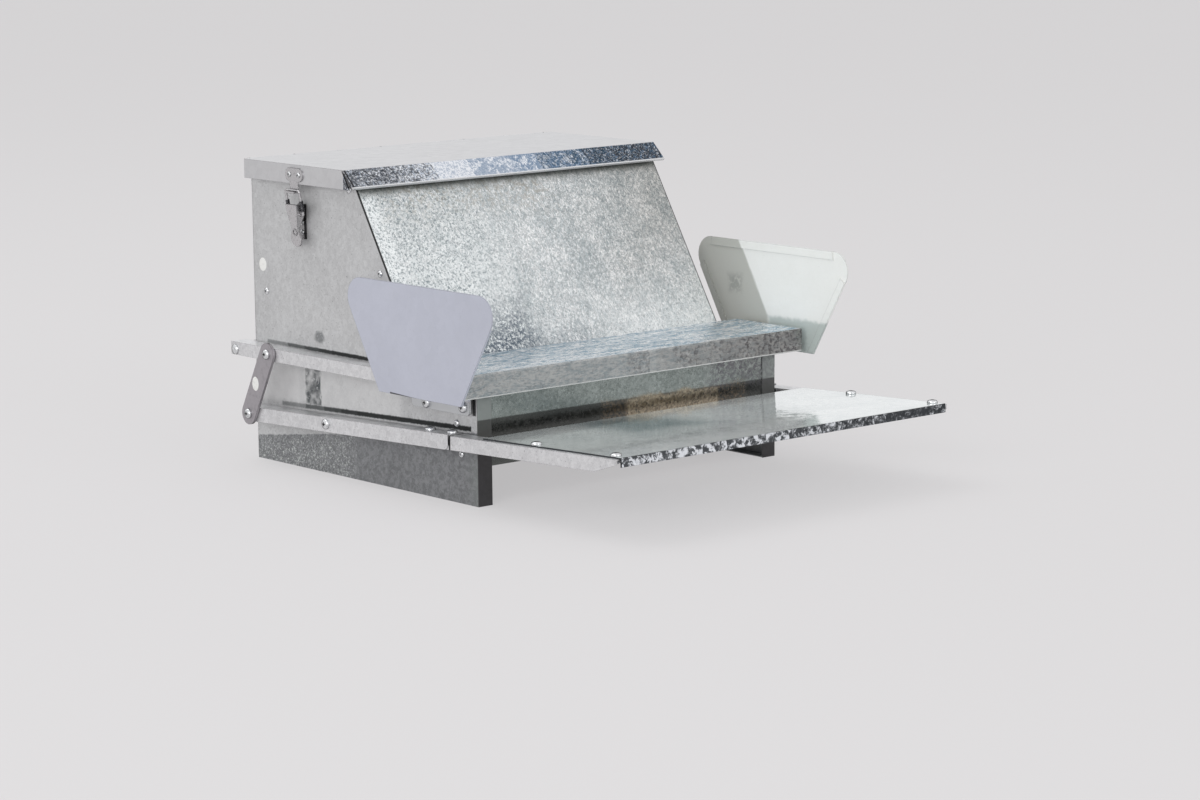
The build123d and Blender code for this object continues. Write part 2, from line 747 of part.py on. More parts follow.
def latch_lever(side):
    """Lever of a latch: a tapered channel with a necked, rounded finger tongue."""
    face = lever_face()
    flank = Plane(origin=face.origin - Vector(0, lever_width, 0), x_dir=face.z_dir * -1,
                  z_dir=(0, 1, 0))
    top, neck = lever_width / 2, lever_neck / 2
    with BuildPart() as lever:
        with BuildSketch(face):
            with BuildLine() as outline:
                Polyline((0, lever_rise), (top, lever_rise), (top, 0), (neck, -lever_neck_top),
                         (neck, -lever_neck_bottom), (top, -tongue_shoulder))
                ThreePointArc((top, -tongue_shoulder),
                              (top * math.sqrt(0.5), -tongue_shoulder
                               - (lever_length - tongue_shoulder) * math.sqrt(0.5)),
                              (0, -lever_length))
                mirror(outline.line, about=Plane.YZ)
            make_face()
        extrude(amount=-latch_sheet)
        with BuildSketch(face):
            for end in (-1, 1):
                with BuildLine():
                    Polyline((end * top, lever_rise), (end * top, 0), (end * neck, -lever_neck_top),
                             (end * (neck - latch_sheet), -lever_neck_top),
                             (end * (top - latch_sheet), 0), (end * (top - latch_sheet), lever_rise),
                             close=True)
                make_face()
        extrude(amount=-cheek_depth)
        with BuildSketch(flank):
            with BuildLine():
                Polyline((cheek_depth, 0), (cheek_crown, lever_rise), (cheek_depth, lever_rise),
                         close=True)
            make_face()
            with BuildLine():
                Polyline((cheek_depth, -cheek_lug), (cheek_toe, -lever_neck_top),
                         (cheek_depth, -lever_neck_top), close=True)
            make_face()
        extrude(amount=2 * lever_width, mode=Mode.SUBTRACT)
        with BuildSketch(upright(latch_depth + lever_width)):
            with Locations(lever_pivot):
                Circle(latch_pin_radius + running)
            with Locations(bail_pivot):
                Circle(bail_wire + running)
        extrude(amount=2 * lever_width, mode=Mode.SUBTRACT)
        with BuildSketch(face):
            with Locations((0, -eyelet_drop)):
                Circle(eyelet_radius)
                Circle(eyelet_bore, mode=Mode.SUBTRACT)
        extrude(amount=eyelet_height)
        if side == "left":
            mirror(about=Plane.YZ, mode=Mode.REPLACE)
    keep(lever, f"latch_lever_{side}")


def latch_bail(side):
    """Wire bail of a latch: a cross bar, two legs and inturned ends in the lever."""
    (bar_x, bar_z), (foot_x, foot_z) = bail_bar, bail_pivot
    middle = front + latch_depth
    near, far = middle - bail_spread, middle + bail_spread
    taper = (lever_width - lever_neck) / 2 / lever_neck_top
    end = lever_width / 2 - taper * bail_pivot_drop - latch_sheet
    points = [(foot_x, middle - end, foot_z), (foot_x, near, foot_z), (bar_x, near, bar_z),
              (bar_x, far, bar_z), (foot_x, far, foot_z), (foot_x, middle + end, foot_z)]
    with BuildPart() as bail:
        with BuildLine():
            FilletPolyline(*points, radius=bail_bend)
        with BuildSketch(Plane(origin=points[0], z_dir=(0, -1, 0))):
            Circle(bail_wire)
        sweep()
        if side == "left":
            mirror(about=Plane.YZ, mode=Mode.REPLACE)
    keep(bail, f"latch_bail_{side}")


def latch_springs(side):
    """Pair of short springs round the legs of a bail, as plain sleeves."""
    (bar_x, bar_z), (foot_x, foot_z) = bail_bar, bail_pivot
    leg = Vector(bar_x - foot_x, 0, bar_z - foot_z).normalized()
    pieces = []
    for edge in (-bail_spread, bail_spread):
        start = Vector(foot_x, front + latch_depth + edge, foot_z) + leg * spring_start
        with BuildPart() as spring:
            with BuildSketch(Plane(origin=start, z_dir=leg)):
                Circle(spring_radius)
                Circle(bail_wire + running, mode=Mode.SUBTRACT)
            extrude(amount=spring_length)
        pieces.append(spring.part)
    if side == "left":
        pieces = [mirror(piece, about=Plane.YZ, mode=Mode.PRIVATE) for piece in pieces]
    keep_group(pieces, f"latch_springs_{side}")


# Treadle ---------------------------------------------------------------------

def joint_bolt_places():
    """Places along the arm of the bolts that join it to the treadle rail."""
    foremost = -lower_arm_reach + joint_bolt_inset
    return (foremost, foremost + joint_bolt_pitch)


def plate_bolt_places():
    """Places along the arm of the treadle plate's bolts."""
    foremost = -treadle_front + plate_bolt_inset
    return (foremost, foremost + plate_bolt_pitch)


def lower_arm(side):
    """Angle-section lower arm from the link forward to the treadle rail."""
    top = arm_above_pivot
    back_end = in_arm(link_low)[0] + arm_end
    with BuildPart() as arm:
        with BuildSketch(along_arm(arm_face - arm_sheet)) as face:
            rect(-lower_arm_reach, -arm_below_pivot, back_end, top)
            fillet(face.vertices().group_by(Axis.Y)[0], radius=arm_corner)
            Circle(bolt_radius + running, mode=Mode.SUBTRACT)
            with Locations(in_arm(link_low)):
                Circle(bolt_radius + hole_clearance, mode=Mode.SUBTRACT)
        extrude(amount=arm_sheet)
        with BuildSketch(arm_top_plane(top)):
            rect(arm_inner, -lower_arm_reach, arm_face - arm_sheet, back_end)
            with Locations(*[(flange_bolt_x, y) for y in joint_bolt_places()]):
                Circle(bolt_radius + hole_clearance, mode=Mode.SUBTRACT)
        extrude(amount=-arm_sheet)
        if side == "left":
            mirror(about=Plane.YZ, mode=Mode.REPLACE)
    keep(arm, f"lower_arm_{side}")


def in_arm(place):
    """Depth and height turned into the tilted arm's own plane."""
    back, up = place[0] - treadle_pivot[0], place[1] - treadle_pivot[1]
    return (back * math.cos(tilt) - up * math.sin(tilt), back * math.sin(tilt) + up * math.cos(tilt))


def treadle_rail(side):
    """Angle-section rail inside the lower arm, tapered at its front end."""
    top = arm_above_pivot - arm_sheet
    face = arm_face - arm_sheet
    with BuildPart() as rail:
        with BuildSketch(along_arm(face - arm_sheet)):
            with BuildLine():
                Polyline((-rail_front, top), (-rail_front, top - rail_nose),
                         (-rail_front + rail_taper, -arm_below_pivot), (-rail_back, -arm_below_pivot),
                         (-rail_back, top), (-rail_front, top))
            make_face()
        extrude(amount=arm_sheet)
        with BuildSketch(arm_top_plane(top)):
            rect(arm_inner, -rail_front, face - arm_sheet, -rail_back)
            bolts = [(flange_bolt_x, y) for y in joint_bolt_places() + plate_bolt_places()]
            with Locations(*bolts):
                Circle(bolt_radius + hole_clearance, mode=Mode.SUBTRACT)
        extrude(amount=-arm_sheet)
        if side == "left":
            mirror(about=Plane.YZ, mode=Mode.REPLACE)
    keep(rail, f"treadle_rail_{side}")


def treadle_plate():
    """Plate the bird stands on, with a folded front lip and rear flange."""
    top = arm_above_pivot - arm_sheet + treadle_sheet
    rear = -treadle_pivot[0] - treadle_rear_gap
    profile = ((-treadle_front, top - treadle_lip), (-treadle_front, top), (rear, top),
               (rear, top - treadle_lip))
    between = arm_inner - lip_clear
    side = arm_face - treadle_inset
    with BuildPart() as plate:
        extrude(strip(along_arm(-between), profile, -treadle_sheet), amount=2 * between)
        extrude(strip(along_arm(-side), profile[1:3], -treadle_sheet), amount=2 * side)
        extrude(strip(along_arm(-side), (*profile[:2], (2 * bend - treadle_front, top)),
                      -treadle_sheet), amount=2 * side)
        with BuildSketch(arm_top_plane(top)):
            with Locations(*[(end * flange_bolt_x, y) for end in (-1, 1)
                             for y in plate_bolt_places()]):
                Circle(bolt_radius + hole_clearance)
        extrude(amount=-2 * treadle_sheet, mode=Mode.SUBTRACT)
    keep(plate, "treadle_plate")


def flange_bolts(plane, places, grip):
    """Bolts and nuts down through an arm's flange on both sides."""
    pieces = []
    for y in places:
        seat = plane.from_local_coords((flange_bolt_x, y, 0))
        pieces += bolt_and_nut(tuple(seat), tuple(plane.z_dir), grip)
    return both_sides(pieces)


def treadle_bolts():
    """Bolts of the treadle plate, and those that join each arm to its rail."""
    plate_top = arm_top_plane(arm_above_pivot - arm_sheet + treadle_sheet)
    arm_top = arm_top_plane(arm_above_pivot)
    keep_group(flange_bolts(plate_top, plate_bolt_places(), treadle_sheet + arm_sheet),
               "treadle_plate_bolts")
    keep_group(flange_bolts(arm_top, joint_bolt_places(), 2 * arm_sheet), "arm_joint_bolts")


# Links -----------------------------------------------------------------------

def link(side):
    """Flat link with round ends, from the lower arm up to the upper arm."""
    mid = ((link_low[0] + link_high[0]) / 2, (link_low[1] + link_high[1]) / 2)
    span = math.dist(link_low, link_high)
    angle = math.degrees(math.atan2(link_high[1] - link_low[1], link_high[0] - link_low[0]))
    with BuildPart() as bar:
        with BuildSketch(across(link_face)):
            with Locations(Location(mid, angle)):
                SlotCenterToCenter(span, link_width)
            with Locations(link_low):
                Circle(bolt_radius + running, mode=Mode.SUBTRACT)
            with Locations(link_high):
                Circle(bolt_radius + loose_hole, mode=Mode.SUBTRACT)
        extrude(amount=link_sheet)
        if side == "left":
            mirror(about=Plane.YZ, mode=Mode.REPLACE)
    keep(bar, f"link_{side}")


def link_bolts():
    """Bolts at the lower and the upper ends of both links."""
    head = link_face + link_sheet + running
    for name, (depth, height) in (("lower", link_low), ("upper", link_high)):
        seat = (head, front + depth, height)
        keep_group(both_sides(bolt_and_nut(seat, (1, 0, 0), head - arm_face + arm_sheet)),
                   f"link_bolts_{name}")


# Trough lid, upper arms and wings ---------------------------------------------

def upper_arm(side):
    """Angle-section upper arm from the rear rod forward under the trough lid."""
    bottom = upper_arm_top - upper_arm_depth
    with BuildPart() as arm:
        with BuildSketch(across(arm_face - arm_sheet)):
            rect(upper_arm_front, bottom, tail_end, upper_arm_top)
            with Locations(rear_pivot):
                Circle(rear_rod_radius + running, mode=Mode.SUBTRACT)
            with Locations(link_high):
                Circle(bolt_radius + hole_clearance, mode=Mode.SUBTRACT)
        extrude(amount=arm_sheet)
        with BuildSketch(level(upper_arm_top)):
            rect(arm_inner, upper_arm_front, arm_face - arm_sheet, tail_end)
        extrude(amount=-arm_sheet)
        if side == "left":
            mirror(about=Plane.YZ, mode=Mode.REPLACE)
    keep(arm, f"upper_arm_{side}")


def trough_lid():
    """Lid over the trough: a shallow pan with a hemmed front lip and boxed sides."""
    side = arm_face + trough_lid_overhang
    lip = trough_lid_top - trough_lid_lip
    profile = ((trough_lid_front, lip), (trough_lid_front, trough_lid_top),
               (trough_lid_back, trough_lid_top))
    section = ((arm_inner, upper_arm_top), (side, upper_arm_top), (side, trough_lid_top - sheet))
    with BuildPart() as lid:
        extrude(strip(across(-side), profile, -sheet), amount=2 * side)
        with BuildSketch(upright(trough_lid_front + 2 * sheet)):
            rect(-side, lip, side, lip + hem)
        extrude(amount=sheet)
        edge = strip(upright(trough_lid_back), section, sheet)
        for side_edge in (edge, mirror(edge, about=Plane.YZ, mode=Mode.PRIVATE)):
            extrude(side_edge, amount=trough_lid_back - trough_lid_front - sheet)
    keep(lid, "trough_lid")


def wing_outline(inset):
    """Sharp-cornered outline of a wing, moved inward from its slanting ends and top."""
    height = wing_top - wing_foot
    lean_front = (wing_foot_front - wing_top_front) / height
    lean_back = (wing_top_back - wing_foot_back) / height
    top = wing_top - inset
    return ((wing_foot_front + inset, wing_foot), (wing_foot_back - inset, wing_foot),
            (wing_foot_back - inset + (top - wing_foot) * lean_back, top),
            (wing_foot_front + inset - (top - wing_foot) * lean_front, top))


def wing(side):
    """Side wing: a hemmed plate, with a shelf and a bolted tab under it."""
    corner = math.atan2(wing_top - wing_foot, wing_foot_front - wing_top_front)
    hem_relief = wing_radius / math.tan(corner / 2) + sheet
    section = ((tab_face, tab_bottom), (tab_face, wing_foot + sheet), (wing_face, wing_foot + sheet))
    with BuildPart() as plate:
        with BuildSketch(across(wing_face - sheet)) as face:
            with BuildLine():
                Polyline(*wing_outline(0), close=True)
            make_face()
            fillet(face.vertices().group_by(Axis.Y)[-1], radius=wing_radius)
        extrude(amount=sheet)
        with BuildSketch(across(wing_face - 2 * sheet)):
            with BuildLine():
                Polyline(*wing_outline(0), close=True)
            make_face()
            with BuildLine():
                Polyline(*wing_outline(wing_hem), close=True)
            make_face(mode=Mode.SUBTRACT)
            with Locations((wing_top_front, wing_top), (wing_top_back, wing_top)):
                Circle(hem_relief, mode=Mode.SUBTRACT)
            rect(wing_foot_front, wing_foot - sheet, wing_foot_back, wing_foot + sheet, Mode.SUBTRACT)
        extrude(amount=sheet)
        extrude(strip(upright(shelf_back), section, sheet, radius=shelf_bend),
                amount=shelf_back - shelf_front)
        with BuildSketch(across(tab_face - 2 * sheet)):
            with Locations(*wing_bolt_places):
                Circle(bolt_radius + hole_clearance)
        extrude(amount=4 * sheet, mode=Mode.SUBTRACT)
        fillet(plate.edges().filter_by(Axis.X).group_by(Axis.Z)[0], radius=tab_corner)
        if side == "left":
            mirror(about=Plane.YZ, mode=Mode.REPLACE)
    keep(plate, f"wing_{side}")


def wing_bracket(side):
    """Angle under the upper arm's flange, to which the wing's tab is bolted."""
    face = tab_face - sheet
    top = upper_arm_top - arm_sheet
    web = face - arm_sheet
    section = ((web, tab_bottom), (web, top), (arm_face - arm_sheet - lid_seat, top))
    with BuildPart() as bracket:
        extrude(strip(upright(shelf_back), section, -arm_sheet), amount=shelf_back - shelf_front)
        with BuildSketch(across(face - 2 * arm_sheet)):
            with Locations(*wing_bolt_places):
                Circle(bolt_radius + hole_clearance)
        extrude(amount=3 * arm_sheet, mode=Mode.SUBTRACT)
        fillet(bracket.edges().filter_by(Axis.X).group_by(Axis.Z)[0], radius=tab_corner)
        if side == "left":
            mirror(about=Plane.YZ, mode=Mode.REPLACE)
    keep(bracket, f"wing_bracket_{side}")


def wing_bolts():
    """Bolts that hold the wings' tabs to their brackets."""
    pieces = []
    for depth, height in wing_bolt_places:
        seat = (tab_face, front + depth, height)
        pieces += bolt_and_nut(seat, (1, 0, 0), sheet + arm_sheet, low_nut_height, low_nut_tail)
    keep_group(both_sides(pieces), "wing_bolts")


# Build ------------------------------------------------------------------------

hopper_front_panel()
back_panel()
trough_front_panel()
feed_ramp()
body_rivets()
treadle_pivots()
rear_pivot_rod()
hinge_leaf()
hinge_pin()
hopper_lid()
catch_rivets()
latch_pins_and_rivets()
treadle_plate()
treadle_bolts()
link_bolts()
trough_lid()
wing_bolts()
for hand in ("left", "right"):
    side_panel(hand)
    rear_pivot_bracket(hand)
    latch_catch(hand)
    latch_base(hand)
    latch_lever(hand)
    latch_bail(hand)
    latch_springs(hand)
    lower_arm(hand)
    treadle_rail(hand)
    link(hand)
    upper_arm(hand)
    wing(hand)
    wing_bracket(hand)
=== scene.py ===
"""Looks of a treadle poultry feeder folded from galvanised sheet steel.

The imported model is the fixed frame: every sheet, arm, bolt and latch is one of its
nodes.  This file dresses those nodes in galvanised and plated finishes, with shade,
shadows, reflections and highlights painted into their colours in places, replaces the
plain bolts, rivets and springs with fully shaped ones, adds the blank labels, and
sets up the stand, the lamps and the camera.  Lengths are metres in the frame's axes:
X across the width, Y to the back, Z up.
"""

import json
import logging
import math
from dataclasses import dataclass, field
from enum import Enum

import bmesh
import bpy
import numpy as np
from mathutils import Matrix, Vector


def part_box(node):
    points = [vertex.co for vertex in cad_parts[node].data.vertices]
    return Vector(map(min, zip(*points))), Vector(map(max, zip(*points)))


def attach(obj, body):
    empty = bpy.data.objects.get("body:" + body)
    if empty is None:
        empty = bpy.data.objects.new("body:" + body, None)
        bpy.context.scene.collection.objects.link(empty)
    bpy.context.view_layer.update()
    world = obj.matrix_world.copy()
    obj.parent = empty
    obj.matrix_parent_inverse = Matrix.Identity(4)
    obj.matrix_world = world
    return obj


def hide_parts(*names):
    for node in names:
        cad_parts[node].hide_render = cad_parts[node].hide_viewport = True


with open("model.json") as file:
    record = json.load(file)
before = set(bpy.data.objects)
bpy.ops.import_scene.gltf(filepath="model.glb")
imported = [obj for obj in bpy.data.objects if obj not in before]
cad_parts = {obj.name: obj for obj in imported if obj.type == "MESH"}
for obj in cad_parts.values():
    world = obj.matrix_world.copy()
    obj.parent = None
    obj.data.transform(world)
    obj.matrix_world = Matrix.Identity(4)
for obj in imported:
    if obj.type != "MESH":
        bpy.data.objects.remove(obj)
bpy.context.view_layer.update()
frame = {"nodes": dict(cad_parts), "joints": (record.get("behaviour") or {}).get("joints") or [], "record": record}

LOG = logging.getLogger("feeder")
Triple = tuple[float, float, float]
Span = tuple[float, float]
Socket = bpy.types.NodeSocket

MM = 0.001
FAR = 1000.0                  # millimetres, beyond any part of the feeder
OPEN: Span = (-FAR, FAR)
EDGE_REACH = 0.65 * MM        # width of the dark cut-edge line: bare steel plus a painted dark reflection
EDGE_STRENGTH = 0.85
EDGE_COLOUR: Triple = (0.08, 0.08, 0.085)
CREASE_ANGLE = math.radians(32.0)         # from which an edge of a mesh stays sharp
MIDDLE: Triple = (0.5, 0.5, 0.5)          # mean of a random colour
# Black of dark edge lines, and of painted shade in gaps and painted shadows.
EDGE_AND_SHADE_BLACK: Triple = (0.015, 0.015, 0.016)
# Black of painted shade in gaps and of painted shadows.
GAP_SHADE_BLACK: Triple = (0.012, 0.012, 0.013)
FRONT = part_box("trough_front_panel")[0].y             # outer face of the body's front
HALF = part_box("side_panel_right")[1].x                # outer face of the body's side
ARM_TILT = math.radians(2.3)                          # of the lower arms and the treadle


def behind_front(depth: float) -> float:
    """Y at a depth in millimetres behind the body's front."""
    return FRONT + depth * MM


def depth_of(y: float) -> float:
    """Depth in millimetres behind the body's front at a Y in metres."""
    return (y - FRONT) / MM


def half_width(node: str) -> float:
    """Half of a node's width in millimetres."""
    low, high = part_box(node)
    return (high.x - low.x) / 2 / MM


def onwards(*starts: float) -> tuple[Span, ...]:
    """Reaches from each start to the right end."""
    return tuple((start, FAR) for start in starts)


class Side(Enum):
    """The two mirrored sides of the feeder."""

    LEFT = "left"
    RIGHT = "right"

    @property
    def sign(self) -> int:
        """Sign of X on this side."""
        return -1 if self is Side.LEFT else 1


class Blend(Enum):
    """How a stain is laid over a finish."""

    COVER = "MIX"
    DARKEN = "MULTIPLY"


# Finishes --------------------------------------------------------------------


@dataclass(frozen=True)
class Stain:
    """A soft-edged box on a sheet inside which its zinc looks different, stained or painted with light or shade.

    All its lengths are millimetres.

    Attributes:
        colour: Colour laid over the finish.
        strength: Share of the colour at the middle, 0 to 1.
        aside: Start and end to the right of the feeder's middle.
        depth: Start and end behind the body's front.
        height: Start and end above the ground, taken at the middle of the front.
        edge: Width of the soft edge.
        ragged: How far the edge wanders.
        mottle: Size of the blotches that break the stain up; 0 leaves it whole.
        cover: Share of the stain that the blotches cover, 0 to 1.
        rise: Rise of the box's level edges for each metre to the right and of depth.
        blend: How the colour is laid on.
        round: Whether the stain fills only the ellipsoid inside the box.
    """

    colour: Triple
    strength: float = 1.0
    aside: Span = OPEN
    depth: Span = OPEN
    height: Span = OPEN
    edge: float = 2.0
    ragged: float = 1.0
    mottle: float = 0.0
    cover: float = 0.5
    rise: tuple[float, float] = (0.0, 0.0)
    blend: Blend = Blend.COVER
    round: bool = False

    def corners(self) -> list[Vector]:
        """Lowest and highest corner in metres, with the rise taken out."""
        bases = (0.0, FRONT, -self.rise[1] * FRONT)
        return [Vector([value * MM + (base if abs(value) < FAR else 0.0)
                        for base, value in zip(bases, corner)])
                for corner in zip(self.aside, self.depth, self.height)]


class NodeSketch:
    """A material's node tree, with short methods for the nodes it is made of."""

    def __init__(self, name: str) -> None:
        """Start an empty material.

        Args:
            name: Name of the material.
        """
        self.material = bpy.data.materials.new(name)
        self.material.use_nodes = True
        self.nodes = self.material.node_tree.nodes
        self.links = self.material.node_tree.links
        self.shader = self.nodes["Principled BSDF"]
        self.place = self.nodes.new("ShaderNodeTexCoord").outputs["Object"]

    def feed(self, value: object, socket: Socket) -> None:
        """Link a socket to another, or set it to a constant.

        Args:
            value: An output socket, a number or a vector.
            socket: The input socket that takes it.
        """
        if isinstance(value, Socket):
            self.links.new(value, socket)
        else:
            socket.default_value = value

    def coat(self, looks: dict[str, object]) -> bpy.types.Material:
        """Feed the shader and finish the material.

        Args:
            looks: Values or sockets by the names of the shader's inputs.

        Returns:
            The material.
        """
        for name, value in looks.items():
            self.feed(value, self.shader.inputs[name])
        return self.material

    def math(self, kind: str, a: object, b: object = 0.0) -> Socket:
        """A math node on two values.

        Args:
            kind: Operation of the node.
            a: First value or socket.
            b: Second value or socket.

        Returns:
            The result's socket.
        """
        node = self.nodes.new("ShaderNodeMath")
        node.operation = kind
        self.feed(a, node.inputs[0])
        self.feed(b, node.inputs[1])
        return node.outputs[0]

    def vector(self, kind: str, a: object, b: object = (0.0, 0.0, 0.0),
               output: str = "Vector") -> Socket:
        """A vector math node on two vectors.

        Args:
            kind: Operation of the node.
            a: First vector or socket.
            b: Second vector or socket.
            output: Name of the output, which is Value for a length or dot product.

        Returns:
            The result's socket.
        """
        node = self.nodes.new("ShaderNodeVectorMath")
        node.operation = kind
        self.feed(a, node.inputs[0])
        self.feed(b, node.inputs[1])
        return node.outputs[output]

    def parts(self, vector: Socket) -> list[Socket]:
        """The three components of a vector or colour."""
        node = self.nodes.new("ShaderNodeSeparateXYZ")
        self.feed(vector, node.inputs[0])
        return list(node.outputs)

    def noise(self, vector: Socket, size: float, detail: float,
              roughness: float) -> bpy.types.NodeOutputs:
        """Noise of a given grain size.

        Args:
            vector: Where the noise is read.
            size: Size of its patches in metres.
            detail: Number of octaves.
            roughness: Share of the finer octaves.

        Returns:
            The noise's outputs.
        """
        node = self.nodes.new("ShaderNodeTexNoise")
        self.feed(vector, node.inputs["Vector"])
        for name, value in (("Scale", 1.0 / size), ("Detail", detail),
                            ("Roughness", roughness)):
            node.inputs[name].default_value = value
        return node.outputs

    def grain(self, vector: Socket, size: float, detail: float = 3.0,
              roughness: float = 0.55) -> Socket:
        """Value of a noise, about 0.5 on average, with the same Args."""
        return self.noise(vector, size, detail, roughness)["Fac"]

    def wander(self, vector: Socket, size: float, reach: float) -> Socket:
        """Coordinates pushed about by noise.

        Args:
            vector: The coordinates.
            size: Size of the noise's patches in metres.
            reach: How far it pushes, in metres.

        Returns:
            The disturbed coordinates.
        """
        random = self.noise(vector, size, detail=2.0, roughness=0.5)["Color"]
        push = self.vector("SUBTRACT", random, MIDDLE)
        return self.vector("ADD", vector, self.vector("MULTIPLY", push, (4 * reach,) * 3))

    def crystals(self, vector: Socket, size: float) -> Socket:
        """Random colour of each crystal of a given size."""
        node = self.nodes.new("ShaderNodeTexVoronoi")
        self.feed(vector, node.inputs["Vector"])
        node.inputs["Scale"].default_value = 1.0 / size
        return node.outputs["Color"]

    def remap(self, value: object, low: float, high: float, to_low: float = 0.0,
              to_high: float = 1.0) -> Socket:
        """A value smoothly mapped from one range to another and held at its ends.

        Args:
            value: The socket to map.
            low: Start of its range.
            high: End of its range.
            to_low: Result at the start.
            to_high: Result at the end.

        Returns:
            The mapped value's socket.
        """
        node = self.nodes.new("ShaderNodeMapRange")
        node.interpolation_type = "SMOOTHSTEP"
        for socket, number in zip(node.inputs, (value, low, high, to_low, to_high)):
            self.feed(number, socket)
        return node.outputs[0]

    def mix(self, factor: object, a: object, b: object, blend: Blend = Blend.COVER) -> Socket:
        """A mix of two colours.

        Args:
            factor: Share of the second colour.
            a: First colour or socket.
            b: Second colour or socket.
            blend: How the second colour is laid on.

        Returns:
            The mixed colour's socket.
        """
        node = self.nodes.new("ShaderNodeMix")
        node.data_type = "RGBA"
        node.blend_type = blend.value
        sockets = [s for s in node.inputs if s.enabled]
        self.feed(factor, sockets[0])
        for value, socket in ((a, sockets[1]), (b, sockets[2])):
            self.feed((*value, 1.0) if isinstance(value, tuple) else value, socket)
        return [s for s in node.outputs if s.enabled][0]

    def tilted(self, colour: Socket, amount: float) -> Socket:
        """The surface normal, tilted at random from crystal to crystal.

        Args:
            colour: Random colour of the crystals.
            amount: How far they tilt.

        Returns:
            The tilted normal.
        """
        normal = self.nodes.new("ShaderNodeNewGeometry").outputs["Normal"]
        push = self.vector("SUBTRACT", colour, MIDDLE)
        moved = self.vector("ADD", normal, self.vector("MULTIPLY", push, (amount,) * 3))
        return self.vector("NORMALIZE", moved)

    def bump(self, height: object, strength: float, distance: float,
             normal: Socket | None = None) -> Socket:
        """A bump over a normal.

        Args:
            height: Height of the surface, 0 to 1.
            strength: Strength of the bump.
            distance: Height in metres that 1 stands for.
            normal: The normal underneath, where it isn't the surface's own.

        Returns:
            The bumped normal.
        """
        node = self.nodes.new("ShaderNodeBump")
        node.inputs["Strength"].default_value = strength
        node.inputs["Distance"].default_value = distance
        self.feed(height, node.inputs["Height"])
        if normal is not None:
            self.feed(normal, node.inputs["Normal"])
        return node.outputs["Normal"]

    def rim(self, reach: float) -> Socket:
        """Share of a sharp edge at each point.

        Args:
            reach: How far from the edge it reaches, in metres.

        Returns:
            The edge's share, 1 at the edge and 0 on the open sheet.
        """
        rounded = self.nodes.new("ShaderNodeBevel")
        rounded.samples = 4
        rounded.inputs["Radius"].default_value = reach
        plain = self.nodes.new("ShaderNodeNewGeometry").outputs["Normal"]
        alike = self.vector("DOT_PRODUCT", rounded.outputs[0], plain, "Value")
        return self.remap(alike, 0.97, 0.80)

    def veins(self, vector: Socket, size: float, width: float) -> Socket:
        """Thin crinkled lines, as between patches of crystals.

        Args:
            vector: Where the lines are read.
            size: Size of the patches in metres.
            width: Width of the lines as a share of the noise.

        Returns:
            The lines' share, 1 on a line.
        """
        patches = self.grain(vector, size, detail=7.0, roughness=0.72)
        away = self.math("ABSOLUTE", self.math("SUBTRACT", patches, 0.5))
        return self.remap(away, 0.0, width, 1.0, 0.0)

    def inside(self, stain: Stain) -> Socket:
        """Share of a stain at each point.

        Args:
            stain: The stain.

        Returns:
            The stain's share, 0 outside its box.
        """
        place = self.place
        if any(stain.rise):
            aside, depth, _ = self.parts(place)
            lift = self.nodes.new("ShaderNodeCombineXYZ")
            self.feed(self.math("ADD", self.math("MULTIPLY", aside, stain.rise[0]),
                                self.math("MULTIPLY", depth, stain.rise[1])), lift.inputs[2])
            place = self.vector("SUBTRACT", place, lift.outputs[0])
        ragged, edge, mottle = (MM * v for v in (stain.ragged, stain.edge, stain.mottle))
        if ragged:
            place = self.wander(place, 6 * ragged, ragged)
        low, high = stain.corners()
        half = (high - low) / 2
        out = self.vector("ABSOLUTE", self.vector("SUBTRACT", place, tuple((low + high) / 2)))
        if stain.round:
            reach = self.vector("LENGTH", self.vector("DIVIDE", out, tuple(half)),
                                output="Value")
            furthest = self.math("MULTIPLY", self.math("SUBTRACT", reach, 1.0), min(half))
        else:
            x, y, z = self.parts(self.vector("SUBTRACT", out, tuple(half)))
            furthest = self.math("MAXIMUM", self.math("MAXIMUM", x, y), z)
        share = self.remap(furthest, -edge / 2, edge / 2, stain.strength, 0.0)
        if mottle:
            blotch = self.grain(self.wander(self.place, mottle, 0.4 * mottle), mottle,
                                detail=5.0, roughness=0.7)
            middle, soft = 0.62 - 0.24 * stain.cover, 0.05
            share = self.math("MULTIPLY", share,
                              self.remap(blotch, middle - soft, middle + soft))
        return share

    def stained(self, colour: Socket, stains: tuple[Stain, ...]) -> Socket:
        """A colour with stains laid over it in turn.

        Args:
            colour: The finish's own colour.
            stains: The stains.

        Returns:
            The stained colour.
        """
        for stain in stains:
            colour = self.mix(self.inside(stain), colour, stain.colour, stain.blend)
        return colour


